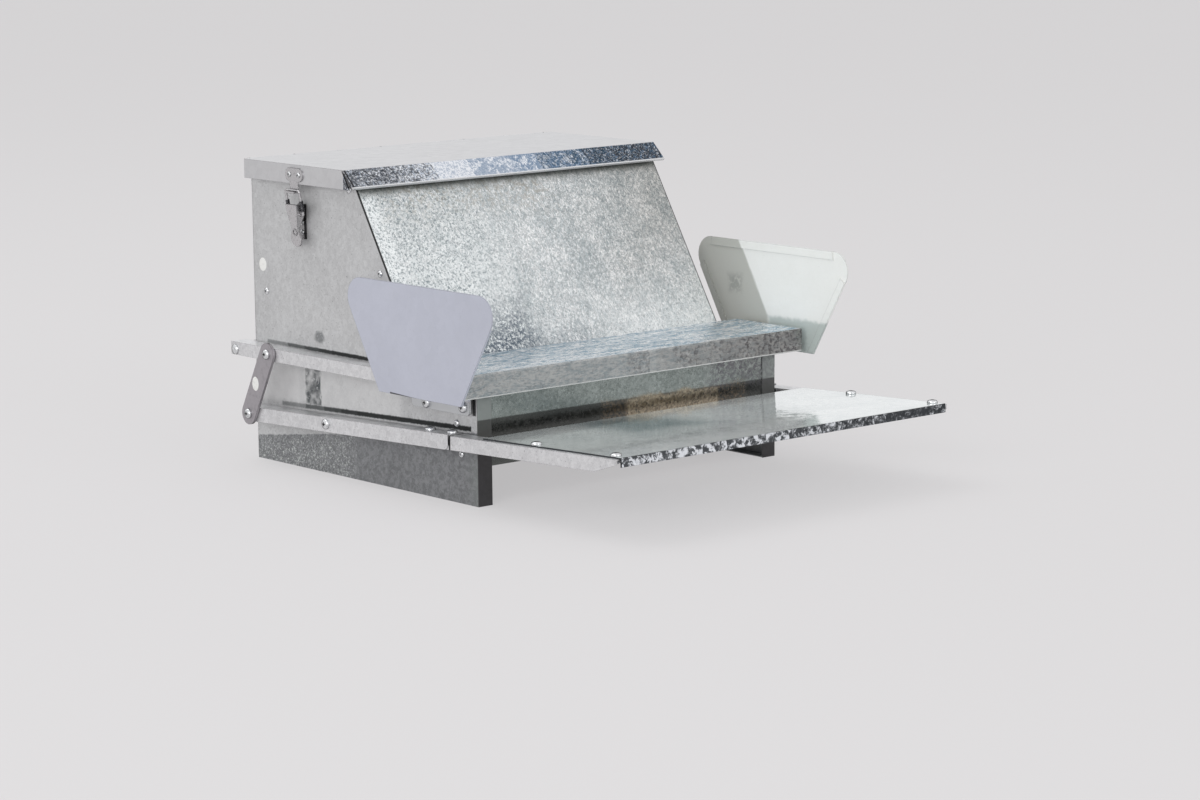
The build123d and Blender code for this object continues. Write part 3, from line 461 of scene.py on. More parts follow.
@dataclass(frozen=True)
class GalvanisedFinish:
    """Hot-dip galvanised sheet: crystals of zinc, cloudy patches, specks, stains and painted light.

    Attributes:
        name: Name of the material.
        dark: Colour of the darkest crystals.
        light: Colour of the brightest crystals.
        crystal: Size of a crystal in metres.
        contrast: Strength of the crystals against the even sheet.
        fine: Strength of the fine grain inside the crystals.
        cloud: Size of the cloudy patches in metres.
        cloudy: Strength of the cloudy patches.
        stretch: Factors that shorten the pattern along the three axes.
        tilt: How far the crystals' faces lean.
        roughness: Roughness of the brightest and of the dullest crystals.
        metallic: Share of metal in the reflection.
        specks: Share of the surface's colour lost in its small dark specks.
        veined: Strength of the thin dark lines between patches of crystals.
        stains: Places where the zinc looks different, painted light and shade among them.
        speck: Size of a dark speck in metres.
        speck_colour: Colour of the dark specks.
        wave: Length in metres of the waves left by rolling.
        wave_height: Height of those waves in metres.
        grit_height: Height of the fine grain in metres.
    """

    name: str
    dark: Triple
    light: Triple
    crystal: float = 5.0 * MM
    contrast: float = 0.5
    fine: float = 0.5
    cloud: float = 60.0 * MM
    cloudy: float = 0.7
    stretch: Triple = (1.0, 1.0, 1.0)
    tilt: float = 0.06
    roughness: tuple[float, float] = (0.3, 0.5)
    metallic: float = 0.8
    specks: float = 0.2
    veined: float = 0.0
    stains: tuple[Stain, ...] = ()
    speck: float = 1.6 * MM
    speck_colour: Triple = (0.12, 0.12, 0.13)
    wave: float = 45.0 * MM
    wave_height: float = 0.9 * MM
    grit_height: float = 0.05 * MM

    def build(self) -> bpy.types.Material:
        """Make the material.

        Returns:
            The finished material.
        """
        sketch = NodeSketch(self.name)
        laid = sketch.vector("MULTIPLY", sketch.place, self.stretch)
        flakes = sketch.crystals(sketch.wander(laid, 0.8 * self.crystal, 0.3 * self.crystal),
                                 self.crystal)
        tone, gloss, _ = sketch.parts(flakes)
        grit = sketch.grain(laid, 0.45 * self.crystal, detail=4.0, roughness=0.75)
        cloud = sketch.grain(laid, self.cloud, detail=4.0)
        level: object = 0.5
        for pattern, strength in ((tone, self.contrast), (grit, 2.4 * self.fine),
                                  (cloud, self.cloudy)):
            level = sketch.math("ADD", level, sketch.math(
                "MULTIPLY", sketch.math("SUBTRACT", pattern, 0.5), strength))
        colour = sketch.mix(sketch.remap(level, 0.05, 0.95), self.dark, self.light)
        dust = sketch.grain(sketch.place, self.speck, detail=1.0)
        speck = sketch.remap(dust, 0.70, 0.75, 0.0, self.specks)
        colour = sketch.mix(speck, colour, self.speck_colour)
        if self.veined:
            lines = sketch.math("MULTIPLY", sketch.veins(laid, 1.6 * self.crystal, 0.05),
                                self.veined)
            colour = sketch.mix(lines, colour, tuple(0.3 * c for c in self.dark))
        colour = sketch.stained(colour, self.stains)
        # Dark line along cut edges: bare steel, darkened further as a painted dark reflection.
        cut = sketch.math("MULTIPLY", sketch.rim(EDGE_REACH), EDGE_STRENGTH)
        colour = sketch.mix(cut, colour, EDGE_COLOUR)
        dullness = sketch.math("ADD", sketch.math("MULTIPLY", gloss, 0.6),
                               sketch.math("MULTIPLY", cloud, 0.4))
        waves = sketch.grain(sketch.place, self.wave, detail=2.0)
        rolled = sketch.bump(waves, 0.25, self.wave_height, sketch.tilted(flakes, self.tilt))
        return sketch.coat({
            "Base Color": colour, "Metallic": self.metallic,
            "Roughness": sketch.remap(dullness, 0.1, 0.9, *self.roughness),
            "Normal": sketch.bump(grit, 0.15, self.grit_height, rolled)})


@dataclass(frozen=True)
class PlatedFinish:
    """Plated steel of bolts, rivets, links, latches and springs.

    Attributes:
        name: Name of the material.
        colour: Colour of the plating.
        roughness: Mean roughness.
        metallic: Share of metal in the reflection.
        tarnish: Strength of the darker patches, 0 to 1.
        patch: Size of the patches in metres.
        painted_dark: Strength of the painted dark reflection on its rims and edge-on faces.
        painted_dark_colour: Colour of that painted dark reflection.
        scratch: Width of the brushed scratches in metres.
        scratch_height: Height of the scratches in metres.
        stains: Places where the plating looks different, painted shadows among them.
    """

    name: str
    colour: Triple
    roughness: float = 0.22
    metallic: float = 0.95
    tarnish: float = 0.35
    patch: float = 2.4 * MM
    painted_dark: float = 0.7
    painted_dark_colour: Triple = (0.02, 0.02, 0.022)
    scratch: float = 0.8 * MM
    scratch_height: float = 0.1 * MM
    stains: tuple[Stain, ...] = ()

    def build(self) -> bpy.types.Material:
        """Make the material.

        Returns:
            The finished material.
        """
        sketch = NodeSketch(self.name)
        patches = sketch.grain(sketch.place, self.patch, detail=4.0, roughness=0.65)
        tarnish = sketch.remap(patches, 0.5, 0.68, 0.0, self.tarnish)
        dark = tuple(0.35 * c for c in self.colour)
        colour = sketch.stained(sketch.mix(tarnish, self.colour, dark), self.stains)
        # Painted dark reflection on faces seen edge-on and along the rims.
        turned = sketch.nodes.new("ShaderNodeLayerWeight").outputs["Facing"]
        painted_dark = sketch.math("MAXIMUM", sketch.remap(turned, 0.45, 0.75),
                            sketch.rim(1.2 * EDGE_REACH))
        colour = sketch.mix(sketch.math("MULTIPLY", painted_dark, self.painted_dark), colour,
                            self.painted_dark_colour)
        brushed = sketch.vector("MULTIPLY", sketch.place, (1.0, 1.0, 6.0))
        scratches = sketch.grain(brushed, self.scratch)
        return sketch.coat({
            "Base Color": colour, "Metallic": self.metallic,
            "Roughness": sketch.remap(patches, 0.3, 0.7, 0.7 * self.roughness,
                                      1.5 * self.roughness),
            "Normal": sketch.bump(scratches, 0.12, self.scratch_height)})


@dataclass(frozen=True)
class LabelFinish:
    """Blank white vinyl with a faint cockle and a little dust."""

    name: str = "blank_label"
    colour: Triple = (0.86, 0.86, 0.84)
    soiled: Triple = (0.62, 0.61, 0.58)
    dust: float = 3 * MM
    cockle: float = 5 * MM
    cockle_height: float = 0.2 * MM

    def build(self) -> bpy.types.Material:
        """Make the material.

        Returns:
            The finished material.
        """
        sketch = NodeSketch(self.name)
        dust = sketch.grain(sketch.place, self.dust, detail=5.0)
        cockle = sketch.grain(sketch.place, self.cockle, detail=2.0)
        return sketch.coat({
            "Base Color": sketch.mix(sketch.remap(dust, 0.5, 0.8), self.colour, self.soiled),
            "Roughness": sketch.remap(dust, 0.3, 0.7, 0.3, 0.5),
            "Normal": sketch.bump(cockle, 0.2, self.cockle_height)})


class StainMap:
    """Where the sheets are stained or blotched, and where light and shade are painted on them."""

    def band(self, node: str, colour: Triple, strength: float = 1.0, front: float = -FAR,
             back: float = FAR, foot: float = -FAR, top: float = FAR, left: float = -FAR,
             right: float = FAR, **look: object) -> Stain:
        """A stain measured in millimetres from the sides of a node's box.

        Args:
            node: Name of the node.
            colour: Colour of the stain.
            strength: Share of its colour.
            front: Start behind the box's front.
            back: End behind the box's front.
            foot: Start above the box's foot.
            top: End above the box's foot.
            left: Start to the right of the box's middle.
            right: End to the right of the box's middle.
            look: The stain's other fields.

        Returns:
            The stain.
        """
        low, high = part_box(node)
        bases = ((low.x + high.x) / 2 / MM, depth_of(low.y), low.z / MM)
        spans = ((left, right), (front, back), (foot, top))
        return Stain(colour, strength, *(tuple(v if abs(v) == FAR else base + v for v in span)
                                         for base, span in zip(bases, spans)), **look)

    def fleck_and_reflection(self, node: str, lip: float, reach: Span, colour: Triple, strength: float,
              size: float, cover: float) -> Stain:
        """Flecks on a folded lip, crisp at its fold.

        Args:
            node: Name of the node.
            lip: Depth of the lip in millimetres.
            reach: Start and end to the right of the middle, in millimetres.
            colour: Colour of the flecks.
            strength: Share of their colour.
            size: Size of the flecks in millimetres.
            cover: Share of the lip that they cover.

        Returns:
            The stain.
        """
        return self.band(node, colour, strength, back=lip, left=reach[0], right=reach[1],
                         edge=0.5, ragged=0.05, mottle=size, cover=cover)

    def flecks_and_reflections(self, node: str, lip: float, reaches: tuple[Span, ...], *look: object
               ) -> tuple[Stain, ...]:
        """Flecks of one kind that grow denser from reach to reach.

        Args:
            node: Name of the node.
            lip: Depth of the lip in millimetres.
            reaches: Start and end of each, to the right of the middle.
            look: Colour, strength, size and cover, as for a single run.

        Returns:
            The stains.
        """
        return tuple(self.fleck_and_reflection(node, lip, reach, *look) for reach in reaches)

    def side(self) -> tuple[Stain, ...]:
        """Painted light, reflections and shade on the sides, and the front flanges."""
        dark_reflection, contact_shade, darken = (0.06, 0.07, 0.075), (0.10, 0.12, 0.12), Blend.DARKEN
        arm_rise, foot_rise = -math.tan(ARM_TILT), -0.135
        foot = {"height": (-FAR, 40 - 187 * foot_rise), "rise": (0.0, foot_rise)}
        foot_reflection = {"edge": 1.6, "ragged": 0.8, "blend": darken, **foot}
        line = 62.5 - 130 * arm_rise
        left_face = (-FAR, 0.4 - HALF / MM)
        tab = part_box("wing_bracket_left")[0]
        tab_depth, tab_foot = depth_of(tab.y), tab.z / MM
        return (
            # Painted light between the arms, lifting the shade that the arms and the link cast.
            *(Stain((pale,) * 3, 0.9, left_face, (start, 326), (67.3445, 107.3445), edge=16,
                    ragged=2, rise=(0.0, arm_rise / 2))
              for start, pale in ((262, 0.98), (110, 0.76))),
            # Darker foot: a painted dark reflection, paler and mottled towards the rear.
            Stain((0.42, 0.43, 0.44), 0.95, **foot_reflection),
            Stain((0.45, 0.45, 0.47), 0.5, mottle=5, cover=0.5, **foot_reflection),
            Stain((0.66, 0.69, 0.67), 0.85, depth=(180, FAR), edge=30, ragged=3, mottle=1.8,
                  cover=0.24, **foot),
            # Painted reflection of a dark upright: a streak between the arms, a round spot above.
            Stain(dark_reflection, 0.95, left_face, (227, 249), (61, 93), edge=3, ragged=1.5,
                  mottle=3.5, cover=1.0),
            Stain(dark_reflection, 0.65, (-HALF / MM - 6, -HALF / MM + 6), (219.5, 233.5), (118, 129),
                  edge=4.5, ragged=1.2, mottle=2.2, cover=0.95, round=True),
            # Painted contact shade along the tops of the lower and upper arms.
            *(Stain(contact_shade, 0.6, depth=(8, end), height=(line - 1.9, line + 1.9), edge=1.6,
                    ragged=0.4, rise=(0.0, arm_rise), blend=darken)
              for end in (287, 250, 222, 196, 172)),
            *(Stain(contact_shade, 0.6, depth=(150, end), height=(110.4, 113.6), edge=1.4,
                    ragged=0.4, blend=darken)
              for end in (308, 276, 250, 228, 208)),
            # Painted shadow on the side behind the left wing's tab.
            Stain(EDGE_AND_SHADE_BLACK, 0.95, left_face, (tab_depth - 3, tab_depth + 1.5),
                  (tab_foot, tab_foot + 22), edge=0.8, ragged=0.2),
            *self.flange())

    def flange(self) -> tuple[Stain, ...]:
        """Front flanges of the sides, like the trough's front between them, with painted dark reflections."""
        depth = (-FAR, depth_of(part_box("side_panel_left")[0].y) + 0.6)
        return (Stain((0.27, 0.295, 0.285), 0.95, depth=depth, edge=0.3, ragged=0.05),
                *self.front_band(depth),
                # Painted dark reflection at the flanges' foot.
                Stain((0.055, 0.052, 0.055), 0.97, depth=depth, height=(-FAR, 52), edge=0.6,
                      ragged=0.05))

    def front_band(self, depth: Span = OPEN) -> tuple[Stain, ...]:
        """Painted dark reflection across the trough's front, with painted brown glints to the right.

        Args:
            depth: Where the stains start and end behind the front.

        Returns:
            The stains.
        """
        top = 74.9
        brown_from, brown_to = -4, 106
        lean = {"depth": depth, "rise": (-0.0055, 0.0)}
        # Painted dark reflection below the band's top.
        return (Stain((0.06, 0.06, 0.057), 0.9, height=(-FAR, top), edge=1.2, ragged=0.2,
                      **lean),
                # Painted golden-brown glints in the band, towards the right.
                Stain((0.50, 0.43, 0.32), 0.85, (brown_from, brown_to),
                      height=(-FAR, top - 1), edge=5, ragged=3, mottle=2.0, cover=0.7, **lean),
                Stain((0.24, 0.19, 0.14), 0.7, (brown_from - 30, brown_to + 34),
                      height=(-FAR, top), edge=8, ragged=3, mottle=2.4, cover=0.45, **lean),
                Stain((0.12, 0.11, 0.13), 0.75, (95, FAR), height=(top, FAR), edge=24,
                      ragged=3, mottle=4, cover=0.5, **lean),
                # Lighter again towards the foot, where the painted reflection ends.
                Stain((0.24, 0.26, 0.25), 0.9, depth=depth, height=(-FAR, 30), edge=40,
                      ragged=2))

    def lid(self) -> tuple[Stain, ...]:
        """Painted reflection on the lid's lip, a black line at its end, a painted highlight on its hem."""
        node, lip = "hopper_lid", 15.9
        pale, black = (0.88, 0.90, 0.94), (0.02, 0.025, 0.035)
        blue, navy = (0.12, 0.21, 0.34), (0.02, 0.06, 0.105)
        left = -half_width(node)
        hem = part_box(node)[1].z / MM - 15.2
        # Painted reflection: the lip pale, then blue, navy and black flecks, then pale ones.
        return (self.band(node, pale, 0.9, back=lip, edge=0.8, ragged=0.05),
                self.fleck_and_reflection(node, lip, OPEN, blue, 0.55, 2.2, 0.42),
                *(self.fleck_and_reflection(node, lip, (-FAR, end), black, 0.8, size, 0.42)
                  for end, size in ((-130, 2.4), (-105, 3.2), (-86, 2.0))),
                *self.flecks_and_reflections(node, lip, onwards(-45, 5, 45), blue, 0.6, 6.0, 0.6),
                *self.flecks_and_reflections(node, lip, onwards(35, 72, 105, 135), navy, 0.75, 2.6, 0.6),
                *self.flecks_and_reflections(node, lip, onwards(92, 128), black, 0.8, 3.0, 0.55),
                self.fleck_and_reflection(node, lip, (0, FAR), pale, 0.85, 1.5, 0.10),
                self.band(node, EDGE_AND_SHADE_BLACK, back=lip, left=left + 0.4, right=left + 2.0,
                          edge=0.3, ragged=0.0),
                # Painted highlight along the hem.
                Stain((0.74, 0.75, 0.76), 0.95, depth=(-FAR, 164), height=(hem - 4, hem + 1.1),
                      edge=0.5, ragged=0.1))

    def slope(self) -> tuple[Stain, ...]:
        """Painted shade to the right, lighter patches, dark blotches under the lip and above the trough lid, and
        painted shadows.
        """
        node, half = "hopper_front_panel", half_width("hopper_front_panel")
        shade, blot, bright = (0.62, 0.60, 0.57), (0.06, 0.09, 0.13), (0.97, 1.0, 1.0)
        left_part = {"right": -30, "edge": 150, "ragged": 6}
        under_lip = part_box("hopper_lid")[1].z / MM - 22
        # Painted shade towards the upper right.
        return (self.band(node, shade, 0.9, left=110, foot=110, edge=200, ragged=8,
                          blend=Blend.DARKEN),
                self.band(node, bright, 0.4, top=80, left=40, edge=70, ragged=6, mottle=3,
                          cover=0.7),
                self.band(node, bright, 0.55, top=130, right=-60, edge=90, ragged=6, mottle=3,
                          cover=0.75),
                self.band(node, bright, 0.7, right=-158, edge=10, ragged=2, mottle=3,
                          cover=0.75),
                self.band(node, bright, 0.5, mottle=5, cover=0.6, **left_part),
                self.band(node, (0.16, 0.21, 0.23), 0.8, mottle=2.4, cover=0.3, **left_part),
                self.band(node, (0.30, 0.27, 0.22), 0.6, foot=170, left=-150, right=40,
                          edge=40, ragged=6, mottle=5, cover=0.35),
                self.band(node, blot, 0.75, foot=205, left=-190, right=-60, edge=22, ragged=5,
                          mottle=4, cover=0.4),
                self.band(node, blot, 0.9, foot=18, top=80, left=-126, right=-44, edge=44,
                          ragged=8, mottle=2.6, cover=0.55),
                self.band(node, blot, 0.6, foot=10, top=56, left=-70, right=20, edge=26,
                          ragged=6, mottle=2.4, cover=0.4),
                # Painted shadow under the lid's lip.
                Stain((0.13, 0.14, 0.12), 0.8, height=(under_lip, FAR), edge=11, ragged=1.5),
                # Painted gap shade along both side edges.
                self.band(node, EDGE_AND_SHADE_BLACK, right=-half + 1.3, edge=0.5, ragged=0.0),
                self.band(node, EDGE_AND_SHADE_BLACK, left=half - 0.8, edge=0.4, ragged=0.0))

    def trough_lid(self) -> tuple[Stain, ...]:
        """Warm stained lip that is darker to the right, and a painted highlight along its hem."""
        node, lip = "trough_lid", 2.0
        warm, brown, spot = (0.33, 0.335, 0.325), (0.20, 0.19, 0.18), (0.07, 0.065, 0.07)
        return (self.band(node, warm, 0.8, back=lip, edge=0.3, ragged=0.02),
                *self.flecks_and_reflections(node, lip, onwards(20, 60, 100, 140), brown, 0.22, 4.0, 0.9),
                *self.flecks_and_reflections(node, lip, onwards(40, 125), spot, 0.65, 3.5, 0.35),
                self.fleck_and_reflection(node, lip, (-14, 12), spot, 0.5, 3.0, 0.45),
                self.fleck_and_reflection(node, lip, (-FAR, 60), spot, 0.3, 2.5, 0.3),
                # Painted highlight along the hem.
                self.band(node, (0.70, 0.71, 0.70), back=lip, top=0.9, edge=0.4, ragged=0.05))

    def treadle(self) -> tuple[Stain, ...]:
        """Black flecks on the plate's front fold, painted shade on its side edges and a dim patch."""
        node, lip, half = "treadle_plate", 1.8, half_width("treadle_plate")
        dark = (0.025, 0.03, 0.035)
        return (self.band(node, (0.10, 0.18, 0.20), 0.8, front=90, back=178, left=-90,
                          right=-15, edge=60, ragged=6),
                self.band(node, (0.08, 0.16, 0.18), 0.5, front=100, back=170, left=-80,
                          right=-25, edge=30, ragged=6, mottle=5, cover=0.5),
                self.band(node, (0.84, 0.87, 0.92), 0.9, back=lip, edge=0.5, ragged=0.05),
                self.fleck_and_reflection(node, lip, OPEN, dark, 0.95, 7, 0.55),
                *(self.fleck_and_reflection(node, lip, (start, FAR), dark, 0.8, size, 0.5)
                  for start, size in ((0, 2.6), (60, 3.4), (115, 2.2))),
                # Painted shade along the plate's side edges.
                self.band(node, dark, right=-half + 0.6, edge=0.3, ragged=0.0),
                self.band(node, dark, left=half - 0.6, edge=0.3, ragged=0.0))

    def arms(self) -> tuple[Stain, ...]:
        """Dark cut edge at each lower arm's end, and its painted shadow on the treadle rail in front."""
        low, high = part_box("lower_arm_left")
        end = depth_of(low.y)
        # The arm's cut edge and the painted shadow on the rail in front of it.
        return (Stain(GAP_SHADE_BLACK, 0.95, depth=(end - 1.8, end + 0.25),
                      height=(-FAR, high.z / MM), edge=0.4, ragged=0.05),)

    def latch_base(self) -> tuple[Stain, ...]:
        """Painted shadow on each latch's base, beside the lever."""
        # Painted shadow beside the lever.
        return (Stain(GAP_SHADE_BLACK, 0.97, depth=(235.5, 244.5), height=(205, 250), edge=0.8,
                      ragged=0.1),)

    def wing(self) -> tuple[Stain, ...]:
        """Grey tab under each wing, and a painted shadow along the fold of its shelf."""
        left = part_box("wing_left")[0].x / MM
        return (Stain((0.56, 0.57, 0.58), 0.95, height=(-FAR, 92.6), edge=0.5, ragged=0.05),
                # Painted shadow under the fold of each shelf.
                *(Stain((0.03, 0.03, 0.035), 0.9, aside, (4, 79), (90.589, 92.389), edge=0.6,
                        ragged=0.1, rise=(0.0, 0.039))
                  for aside in ((left - 1, left + 2), (-left - 2, -left + 1))))

    def right_wing(self) -> tuple[Stain, ...]:
        """Painted shade on the rear of the right wing's inside, a thumb mark and a darker foot."""
        rear, steepness = 41, 1.76
        # Painted shade on the rear of the inside.
        return (Stain((0.46, 0.47, 0.43), 0.85, depth=(rear, FAR),
                      height=(-FAR, 189 - 79 * steepness), edge=6, ragged=1.2,
                      rise=(0.0, steepness)),
                Stain((0.22, 0.23, 0.22), 0.5, depth=(78, 95), height=(143, 158), edge=9,
                      ragged=3, mottle=4, cover=0.7),
                Stain((0.40, 0.48, 0.46), 0.7, depth=(-FAR, rear), height=(-FAR, 124), edge=5,
                      ragged=1.5),
                *self.wing())


STAINS = StainMap()


@dataclass(frozen=True)
class FinishSet:
    """The finishes of the feeder, by the record's material slots."""

    body: GalvanisedFinish = GalvanisedFinish(
        "body_sheet", (0.45, 0.45, 0.455), (0.65, 0.655, 0.66), crystal=4 * MM, contrast=0.2,
        fine=0.4, cloudy=0.5, tilt=0.02, roughness=(0.42, 0.58), metallic=0.45, specks=0.9,
        stains=STAINS.side())
    trough_front: GalvanisedFinish = GalvanisedFinish(
        "trough_front_sheet", (0.15, 0.17, 0.16), (0.40, 0.43, 0.415), crystal=2.4 * MM,
        contrast=0.3, fine=0.7, cloudy=0.6, tilt=0.02, roughness=(0.16, 0.3), metallic=0.9,
        stains=STAINS.front_band())
    slope: GalvanisedFinish = GalvanisedFinish(
        "slope_sheet", (0.40, 0.455, 0.475), (1.0, 1.0, 1.0), crystal=1.9 * MM, contrast=0.4,
        fine=1.1, cloud=22 * MM, cloudy=0.8, stretch=(1.0, 0.55, 0.55), tilt=0.05,
        roughness=(0.34, 0.5), metallic=0.6, veined=0.6, stains=STAINS.slope())
    lid: GalvanisedFinish = GalvanisedFinish(
        "lid_sheet", (0.55, 0.55, 0.56), (0.65, 0.65, 0.66), crystal=7 * MM, contrast=0.2,
        fine=0.2, cloudy=0.4, tilt=0.02, roughness=(0.3, 0.42), metallic=0.8,
        stains=STAINS.lid())
    trough_lid: GalvanisedFinish = GalvanisedFinish(
        "trough_lid_sheet", (0.12, 0.27, 0.38), (1.0, 1.0, 1.0), crystal=3.4 * MM,
        contrast=0.6, fine=1.8, cloudy=0.8, stretch=(0.25, 1.0, 1.0), tilt=0.03,
        roughness=(0.22, 0.36), metallic=0.5, stains=STAINS.trough_lid())
    wing: GalvanisedFinish = GalvanisedFinish(
        "wing_sheet", (0.52, 0.54, 0.62), (0.62, 0.64, 0.73), crystal=9 * MM, contrast=0.1,
        fine=0.1, cloudy=0.5, tilt=0.01, roughness=(0.34, 0.42), metallic=0.7, specks=0.1,
        stains=STAINS.wing())
    # Painted light: a near-white copy of the wing's finish for the right wing's lit inside.
    right_wing: GalvanisedFinish = GalvanisedFinish(
        "right_wing_painted_light", (0.90, 0.91, 0.88), (0.97, 0.98, 0.96), crystal=9 * MM,
        contrast=0.1, fine=0.2, cloudy=0.5, tilt=0.01, roughness=(0.32, 0.42), metallic=0.1,
        specks=0.15, stains=STAINS.right_wing())
    treadle: GalvanisedFinish = GalvanisedFinish(
        "treadle_sheet", (0.66, 0.71, 0.72), (0.94, 0.97, 0.96), crystal=5 * MM, contrast=0.2,
        fine=0.45, cloudy=0.8, tilt=0.012, roughness=(0.06, 0.12), metallic=0.5,
        stains=STAINS.treadle())
    arm: GalvanisedFinish = GalvanisedFinish(
        "arm_sheet", (0.58, 0.58, 0.59), (0.82, 0.82, 0.83), crystal=4 * MM, contrast=0.25,
        fine=0.4, cloudy=0.4, tilt=0.03, roughness=(0.32, 0.46), metallic=0.8, specks=0.7,
        stains=STAINS.arms())
    link: PlatedFinish = PlatedFinish("link_bar", (0.38, 0.36, 0.38), roughness=0.4,
                                      metallic=0.7, tarnish=0.15, patch=6 * MM)
    latch: PlatedFinish = PlatedFinish("latch_nickel", (0.56, 0.55, 0.56), roughness=0.26,
                                       metallic=0.9, tarnish=0.4, painted_dark=1.0)
    # Painted shade: a darker copy of the latch's plating for the bases.
    latch_base: PlatedFinish = PlatedFinish("latch_base_painted_shade", (0.34, 0.335, 0.34),
                                            roughness=0.3, metallic=0.8,
                                            stains=STAINS.latch_base())
    spring: PlatedFinish = PlatedFinish("spring_wire", (0.14, 0.14, 0.15), roughness=0.3,
                                        tarnish=0.4)
    zinc: PlatedFinish = PlatedFinish("zinc_fasteners", (0.74, 0.75, 0.76), roughness=0.2,
                                      tarnish=0.6, painted_dark=1.0)
    # Grime and painted shade in the bolts' cross recesses.
    recess: PlatedFinish = PlatedFinish("recess_grime_and_shade", (0.05, 0.05, 0.05), roughness=0.6,
                                        metallic=0.4, tarnish=0.3)
    label: LabelFinish = LabelFinish()

    def build(self) -> dict[str, bpy.types.Material]:
        """Make every finish once.

        Returns:
            The materials by their names.
        """
        return {finish.name: finish.build() for finish in vars(self).values()}


# Meshes ----------------------------------------------------------------------


def full_turn(steps: int) -> list[float]:
    """Angles of a full turn in equal steps."""
    return [2 * math.pi * i / steps for i in range(steps)]


class Draft:
    """A mesh being drawn, and the ways its surfaces are made."""

    def __init__(self) -> None:
        """Start an empty mesh."""
        self.mesh = bmesh.new()

    def ring(self, points: list[Vector]) -> list[bmesh.types.BMVert]:
        """A ring of new vertices."""
        return [self.mesh.verts.new(p) for p in points]

    def bridge(self, a: list[bmesh.types.BMVert], b: list[bmesh.types.BMVert]) -> None:
        """Faces between two closed rings of as many vertices each."""
        for i, vertex in enumerate(a):
            j = (i + 1) % len(a)
            self.mesh.faces.new((vertex, a[j], b[j], b[i]))

    def cap(self, ring: list[bmesh.types.BMVert], centre: Vector, flip: bool = False) -> None:
        """A fan of faces that closes a ring.

        Args:
            ring: The ring's vertices.
            centre: The fan's middle point.
            flip: Whether the fan faces the other way.
        """
        hub = self.mesh.verts.new(centre)
        for i, vertex in enumerate(ring):
            corners = (vertex, ring[(i + 1) % len(ring)], hub)
            self.mesh.faces.new(corners[::-1] if flip else corners)

    def lathe(self, profile: list[tuple[float, float]], place: Matrix, segments: int) -> None:
        """Turn a profile round the local Z axis, closed at both ends.

        Args:
            profile: Radius and height of each point, from the foot up the outside to
                the top.
            place: Where the piece stands.
            segments: Number of faces round it.
        """
        rings = [self.ring([place @ Vector((r * math.cos(t), r * math.sin(t), z))
                            for t in full_turn(segments)]) for r, z in profile]
        for lower, upper in zip(rings, rings[1:]):
            self.bridge(lower, upper)
        self.cap(rings[0], place @ Vector((0, 0, profile[0][1])), flip=True)
        self.cap(rings[-1], place @ Vector((0, 0, profile[-1][1])))

    def tube(self, path: list[Vector], radius: float, segments: int) -> None:
        """A round wire along a path, with closed ends.

        Args:
            path: Points of the wire's centre line.
            radius: Radius of the wire.
            segments: Number of faces round it.
        """
        rings = []
        ends = [path[0]] + path + [path[-1]]
        for before, point, after in zip(ends, path, ends[2:]):
            along = (after - before).normalized()
            across = along.orthogonal() if not rings else across - along * across.dot(along)
            across.normalize()
            up = along.cross(across)
            rings.append(self.ring([
                point + radius * (across * math.cos(t) + up * math.sin(t))
                for t in full_turn(segments)]))
        for a, b in zip(rings, rings[1:]):
            self.bridge(a, b)
        self.cap(rings[0], path[0], flip=True)
        self.cap(rings[-1], path[-1])

    def finish(self, name: str, material: bpy.types.Material) -> bpy.types.Object:
        """Turn the draft into an object with smooth faces between its creases.

        Args:
            name: Name of the object.
            material: Its finish.

        Returns:
            The new object.
        """
        bmesh.ops.recalc_face_normals(self.mesh, faces=self.mesh.faces)
        for face in self.mesh.faces:
            face.smooth = True
        for edge in self.mesh.edges:
            edge.smooth = (len(edge.link_faces) != 2
                           or edge.calc_face_angle(0.0) < CREASE_ANGLE)
        data = bpy.data.meshes.new(name)
        self.mesh.to_mesh(data)
        self.mesh.free()
        data.materials.append(material)
        piece = bpy.data.objects.new(name, data)
        bpy.context.scene.collection.objects.link(piece)
        return piece


# Fasteners -------------------------------------------------------------------


